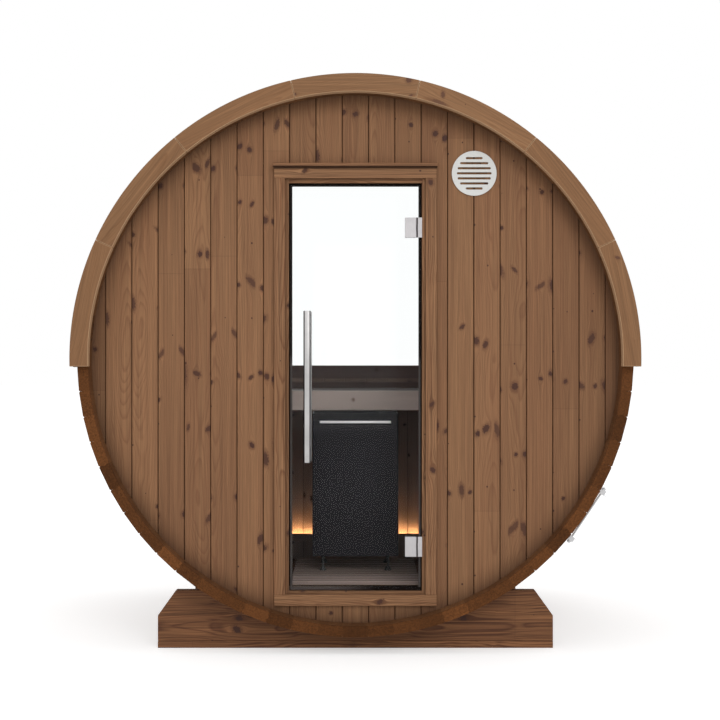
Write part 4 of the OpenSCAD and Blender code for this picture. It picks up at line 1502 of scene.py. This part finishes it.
def bar_handles():
    """A bar of flat tube on each side of the glass, the inner one wider, on two posts with a collar."""
    low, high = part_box("door_handles")
    x, middle = handle_middle_x, (low.z + high.z) / 2
    deep = HANDLE_HALF_DEPTH
    outer_bar = (pane_low.y, low.y + deep, -1, OUTER_HANDLE_HALF)
    inner_bar = (pane_high.y, high.y - deep, 1, (high.x - low.x) / 2)
    parts = []
    for face, bar_y, out, half_x in (outer_bar, inner_bar):
        parts.append(flat_bar(x, bar_y, low.z, high.z, half_x, deep))
        for z in (middle - POST_OFF_MIDDLE, middle + POST_OFF_MIDDLE):
            for radius, reach in ((POST_RADIUS, abs(bar_y - face)), (COLLAR_RADIUS, COLLAR_HEIGHT)):
                parts.append(soft_rod((x, face, z), (0, out, 0), radius, 0.0, reach, 0.001))
    add_piece("bar_handles", joined(parts), "door", steel, "stainless", ["door_handles"])


def pane_border():
    """The ground edge of the door's pane, as a narrow grey band along the rim of its inner face: the edge's
    own grey with a painted highlight.
    """
    half_x, half_z = (pane_high.x - pane_low.x) / 2, (pane_high.z - pane_low.z) / 2
    middle_z = (pane_high.z + pane_low.z) / 2
    section = ((0.0006, 0.0), (0.0006, 0.0005), (0.0078, 0.0005), (0.0078, 0.0))
    rings = []
    for inset, rise in (*section, section[0]):
        flat = rounded_outline(half_x - inset, half_z - inset, 0.0016)
        y = np.full(len(flat), pane_high.y + rise)
        rings.append(np.column_stack([flat[:, 0], y, flat[:, 1] + middle_z]))
    add_piece("pane_border", tube_of(np.array(rings)), "door", ground_edge_and_highlight, "clear_glass")


bar_handles()
pane_border()
softened("vent_grille", "vent_disc", "house", vent_coat, "vent_plastic", 0.0012, 3)


def vent_damper():
    """The wooden disc that closes the duct close behind the disc of slots, with a rounded front edge."""
    depth = wall_front + DAMPER_SUNK
    turn = np.linspace(0, TAU, 64, endpoint=False)
    rings = []
    for y, short in ((depth, 0.0015), (depth + 0.0008, 0.0004), (depth + 0.012, 0.0004)):
        reach = DUCT_RADIUS - 0.0002 - short
        circle = [vent_x + reach * np.cos(turn), np.full(64, y), vent_z + reach * np.sin(turn)]
        rings.append(np.stack(circle, axis=-1))
    rings = np.array(rings)[None]
    shift, tree = new_boards(1, np.random.default_rng(45), FASCIA_TONE)
    place = rings - (vent_x, depth, -shift[0])
    shape = lofted(rings, place=place, tree=tree, axis=(0.0, 0.0, 1.0), shade=0.0)
    add_piece("vent_damper", shape, "house", wall_wood, "wall_wood")


vent_damper()


# ---- Heater ----


def rounded_box(low, high, corner, soft, steps=3):
    """A standing box with rounded upright corners, and its top and bottom edges rounded over soft."""
    low, high = np.array(low), np.array(high)
    turn = np.linspace(0, math.pi / 2, steps + 1)
    eased = list(zip(soft * (1 - np.cos(turn)), soft * (1 - np.sin(turn))))
    middle, half = (low + high)[:2] / 2, (high - low)[:2] / 2
    levels = eased_levels(low[2], high[2], eased)
    return stacked(middle, half, levels, lambda short: max(corner - short, 0.0004))


def heater_case():
    """The casing: rounded outer walls, a rolled rim and the tray for the stones, as one run of rounded
    rectangles, then a front plate standing a little proud, and pressed slots low on both sides."""
    low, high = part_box("heater_body")
    half_x, half_y = (high.x - low.x) / 2, (high.y - low.y) / 2
    middle_y = (high.y + low.y) / 2
    plate = 0.0016
    run = [
        (low.z, 0.004),
        (low.z + 0.0012, 0.0018),
        (low.z + 0.004, plate),
        (high.z - 0.012, plate),
        (high.z - 0.0115, 0.0004),
        (high.z - 0.002, 0.0),
        (high.z - 0.0005, 0.0006),
        (high.z, 0.002),
        (high.z, 0.006),
        (high.z - 0.0006, 0.0075),
        (high.z - 0.002, 0.008),
        (high.z - 0.118, 0.008),
    ]
    parts = [stacked((0.0, middle_y), (half_x, half_y), run, lambda short: max(0.008 - short, 0.001))]
    face_low = (low.x + 0.010, low.y, low.z + 0.014)
    face_high = (high.x - 0.010, low.y + 0.004, high.z - 0.020)
    parts.append(rounded_box(face_low, face_high, 0.0008, 0.0008))
    for side in (-1, 1):
        x = side * (half_x - plate)
        for row in range(9):
            z = low.z + 0.06 + row * 0.016
            corners = ((x - 0.002, middle_y - 0.11, z), (x + 0.0012, middle_y + 0.11, z + 0.005))
            parts.append(rounded_box(*corners, 0.0004, 0.0004, 2))
    add_piece("heater_case", joined(parts), "house", heater_coat, "heater_black", ["heater_body"])


def heater_legs():
    """Four adjustable feet: a pad with a rounded rim and a cone, a threaded leg and a lock nut."""
    low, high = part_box("heater_feet")
    pad = 0.015
    pad_radii = (0.0142, 0.015, 0.015, 0.0145, 0.0085, 0.0068, 0.0052)
    pad_steps = (0.0, 0.0008, 0.0042, 0.0052, 0.0160, 0.0188, 0.0192)
    thread = np.linspace(0.005, high.z - low.z, 46)
    thread_radii = np.where(np.arange(46) % 2, 0.0043, 0.005)
    nut_radii = (0.0082, 0.0092, 0.0092, 0.0082)
    nut_steps = high.z - low.z - 0.009 + np.array((0.0, 0.0006, 0.0070, 0.0076))
    parts = []
    for x in (low.x + pad, high.x - pad):
        for y in (low.y + pad, high.y - pad):
            foot = (x, y, low.z)
            parts.append(turned(foot, (0, 0, 1), pad_radii, pad_steps, 40))
            parts.append(turned(foot, (0, 0, 1), thread_radii, thread, 20))
            parts.append(turned(foot, (0, 0, 1), nut_radii, nut_steps, 6))
    add_piece("heater_legs", joined(parts), "house", foot_coat, "heater_black", ["heater_feet"])


def guard_bar():
    """The bar in front of the heater, with rounded ends, on two posts with a collar."""
    low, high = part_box("heater_bar")
    radius, z = (high.z - low.z) / 2, (high.z + low.z) / 2
    y = low.y + radius
    parts = [soft_rod((0, y, z), (1, 0, 0), radius, low.x, high.x, 0.001)]
    for x in (low.x + 4 * radius, high.x - 4 * radius):
        post = (x, heater_front, z)
        parts.append(soft_rod(post, (0, -1, 0), 0.003, 0.0, heater_front - y, 0.0005))
        parts.append(soft_rod(post, (0, -1, 0), 0.0045, 0.0, 0.002, 0.0006))
    add_piece("heater_guard_bar", joined(parts), "house", satin_steel, "stainless", ["heater_bar"])


def rocks(centres, sizes, draw):
    """Split rocks. The surface in each direction is where the nearest of 14 random planes cuts it, which
    gives flat broken faces, and the grid is 10 rings of 14 points closed by a small face at each pole."""
    count = len(centres)
    tilt = np.linspace(0.12, math.pi - 0.12, 10)
    turn = np.linspace(0, TAU, 14, endpoint=False)
    tilt, turn = np.meshgrid(tilt, turn, indexing="ij")
    ways = np.stack([np.sin(tilt) * np.cos(turn), np.sin(tilt) * np.sin(turn), np.cos(tilt)], axis=-1)
    planes = draw.normal(size=(count, 14, 3))
    planes /= np.linalg.norm(planes, axis=-1, keepdims=True)
    far = draw.uniform(0.72, 1.0, (count, 14))
    facing = np.einsum("ijk,cpk->cijp", ways, planes)
    reach = np.where(facing > 0.15, far[:, None, None] / np.maximum(facing, 0.15), 1.35).min(axis=-1)
    reach = np.minimum(reach, 1.25)
    shape = draw.uniform(0.75, 1.15, (count, 1, 1, 3))
    local = ways * reach[..., None] * shape * sizes[:, None, None, None]
    spin = np.linalg.qr(draw.normal(size=(count, 3, 3)))[0]
    spin *= np.sign(np.linalg.det(spin))[:, None, None]
    points = np.einsum("cijk,ckl->cijl", local, spin) + centres[:, None, None]
    return lofted(points)


def stone_heap():
    """Rocks heaped in the tray in three loose layers, each on a jittered grid, kept inside the rim."""
    low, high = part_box("heater_stones")
    draw = np.random.default_rng(91)
    layers = (high.z - 0.082, high.z - 0.058, high.z - 0.036)
    columns = np.linspace(low.x + 0.030, high.x - 0.030, 9)
    rows = np.linspace(low.y + 0.030, high.y - 0.030, 8)
    centres = np.array([(x, y, z) for z in layers for x in columns for y in rows])
    sizes = draw.uniform(0.019, 0.029, len(centres))
    centres += draw.uniform(-0.009, 0.009, centres.shape)
    shape = rocks(centres, sizes, draw)
    shape.points = np.clip(shape.points, np.array(low) + 0.0005, np.array(high) - 0.0002)
    add_piece("heater_rocks", shape, "house", dark_stone, "sauna_stone", ["heater_stones"], smooth=False)


heater_case()
heater_legs()
guard_bar()
stone_heap()


# ---- Light strip ----

softened("light_strip", "glow_strip", "house", strip_glow, "warm_light", 0.0006)


# ---- Floor, lights and camera ----

SKY_LIGHT = 0.84
FLOOR_LIFT = 0.45
FLOOR_REACH = 60.0


def seen_directly(pencil):
    """1 for what the camera sees, straight, through glass or mirrored, and 0 for light on other things."""
    path = pencil.node("ShaderNodeLightPath").outputs
    straight = pencil.math("MAXIMUM", path["Is Camera Ray"], path["Is Transmission Ray"])
    return straight.most(path["Is Glossy Ray"])


def studio_floor():
    """A wide pale floor that keeps the object's shadow. Looked at straight on it is lifted to white."""
    mesh = bpy.data.meshes.new("studio_floor")
    corners = [(x * FLOOR_REACH, y * FLOOR_REACH, 0) for x, y in ((-1, -1), (1, -1), (1, 1), (-1, 1))]
    mesh.from_pydata(corners, [], [(0, 1, 2, 3)])
    material = bpy.data.materials.new("studio floor")
    pencil = emptied(material)
    pale = pencil.placed("ShaderNodeBsdfDiffuse", {"Color": (0.8, 0.8, 0.8, 1.0)})
    lift = pencil.placed("ShaderNodeEmission", {"Strength": seen_directly(pencil) * FLOOR_LIFT})
    both = pencil.placed("ShaderNodeAddShader", {0: pale, 1: lift})
    pencil.feed(pencil.node("ShaderNodeOutputMaterial").inputs["Surface"], both)
    mesh.materials.append(material)
    linked("studio_floor", mesh)


def studio_world():
    """An even pale surrounding that lights the object softly and is seen as white."""
    world = bpy.data.worlds.new("studio")
    pencil = emptied(world)
    strength = seen_directly(pencil).between(SKY_LIGHT, 1.0)
    sources = {"Color": (1.0, 1.0, 1.0, 1.0), "Strength": strength}
    around_us = pencil.placed("ShaderNodeBackground", sources)
    pencil.feed(pencil.node("ShaderNodeOutputWorld").inputs["Surface"], around_us)
    bpy.context.scene.world = world


def soft_lamp(name, place, target, size, power):
    """A square area lamp at a place, facing a target."""
    data = bpy.data.lights.new(name, "AREA")
    data.size = size
    data.energy = power
    lamp = linked(name, data)
    lamp.location = place
    way = Vector(target) - Vector(place)
    lamp.rotation_euler = way.to_track_quat("-Z", "Y").to_euler()
    return lamp


def studio_camera():
    """A long lens level with the barrel's axis, looking at the door."""
    data = bpy.data.cameras.new("front_view")
    data.lens = 76.0
    data.sensor_width = 36.0
    data.shift_x = 0.0064
    data.shift_y = -0.0014
    data.clip_end = 200.0
    camera = linked("front_view", data)
    camera.location = (0.0, -6.972, axis_z)
    camera.rotation_euler = (math.pi / 2, 0.0, 0.0)
    bpy.context.scene.camera = camera


studio_floor()
studio_world()
soft_lamp("key_lamp", (2.2, -9.0, 5.5), (0.0, 0.0, 1.1), 3.4, 168.0)
fill_lamp = soft_lamp("fill_lamp", (-0.7, -9.0, 1.6), (0.0, 0.0, 0.8), 2.2, 48.0)
fill_lamp.visible_glossy = False
soft_lamp("back_lamp", (-2.2, 9.0, 5.5), (0.0, 0.0, 1.1), 3.4, 90.0)
studio_camera()
bpy.context.scene.view_settings.view_transform = "Standard"
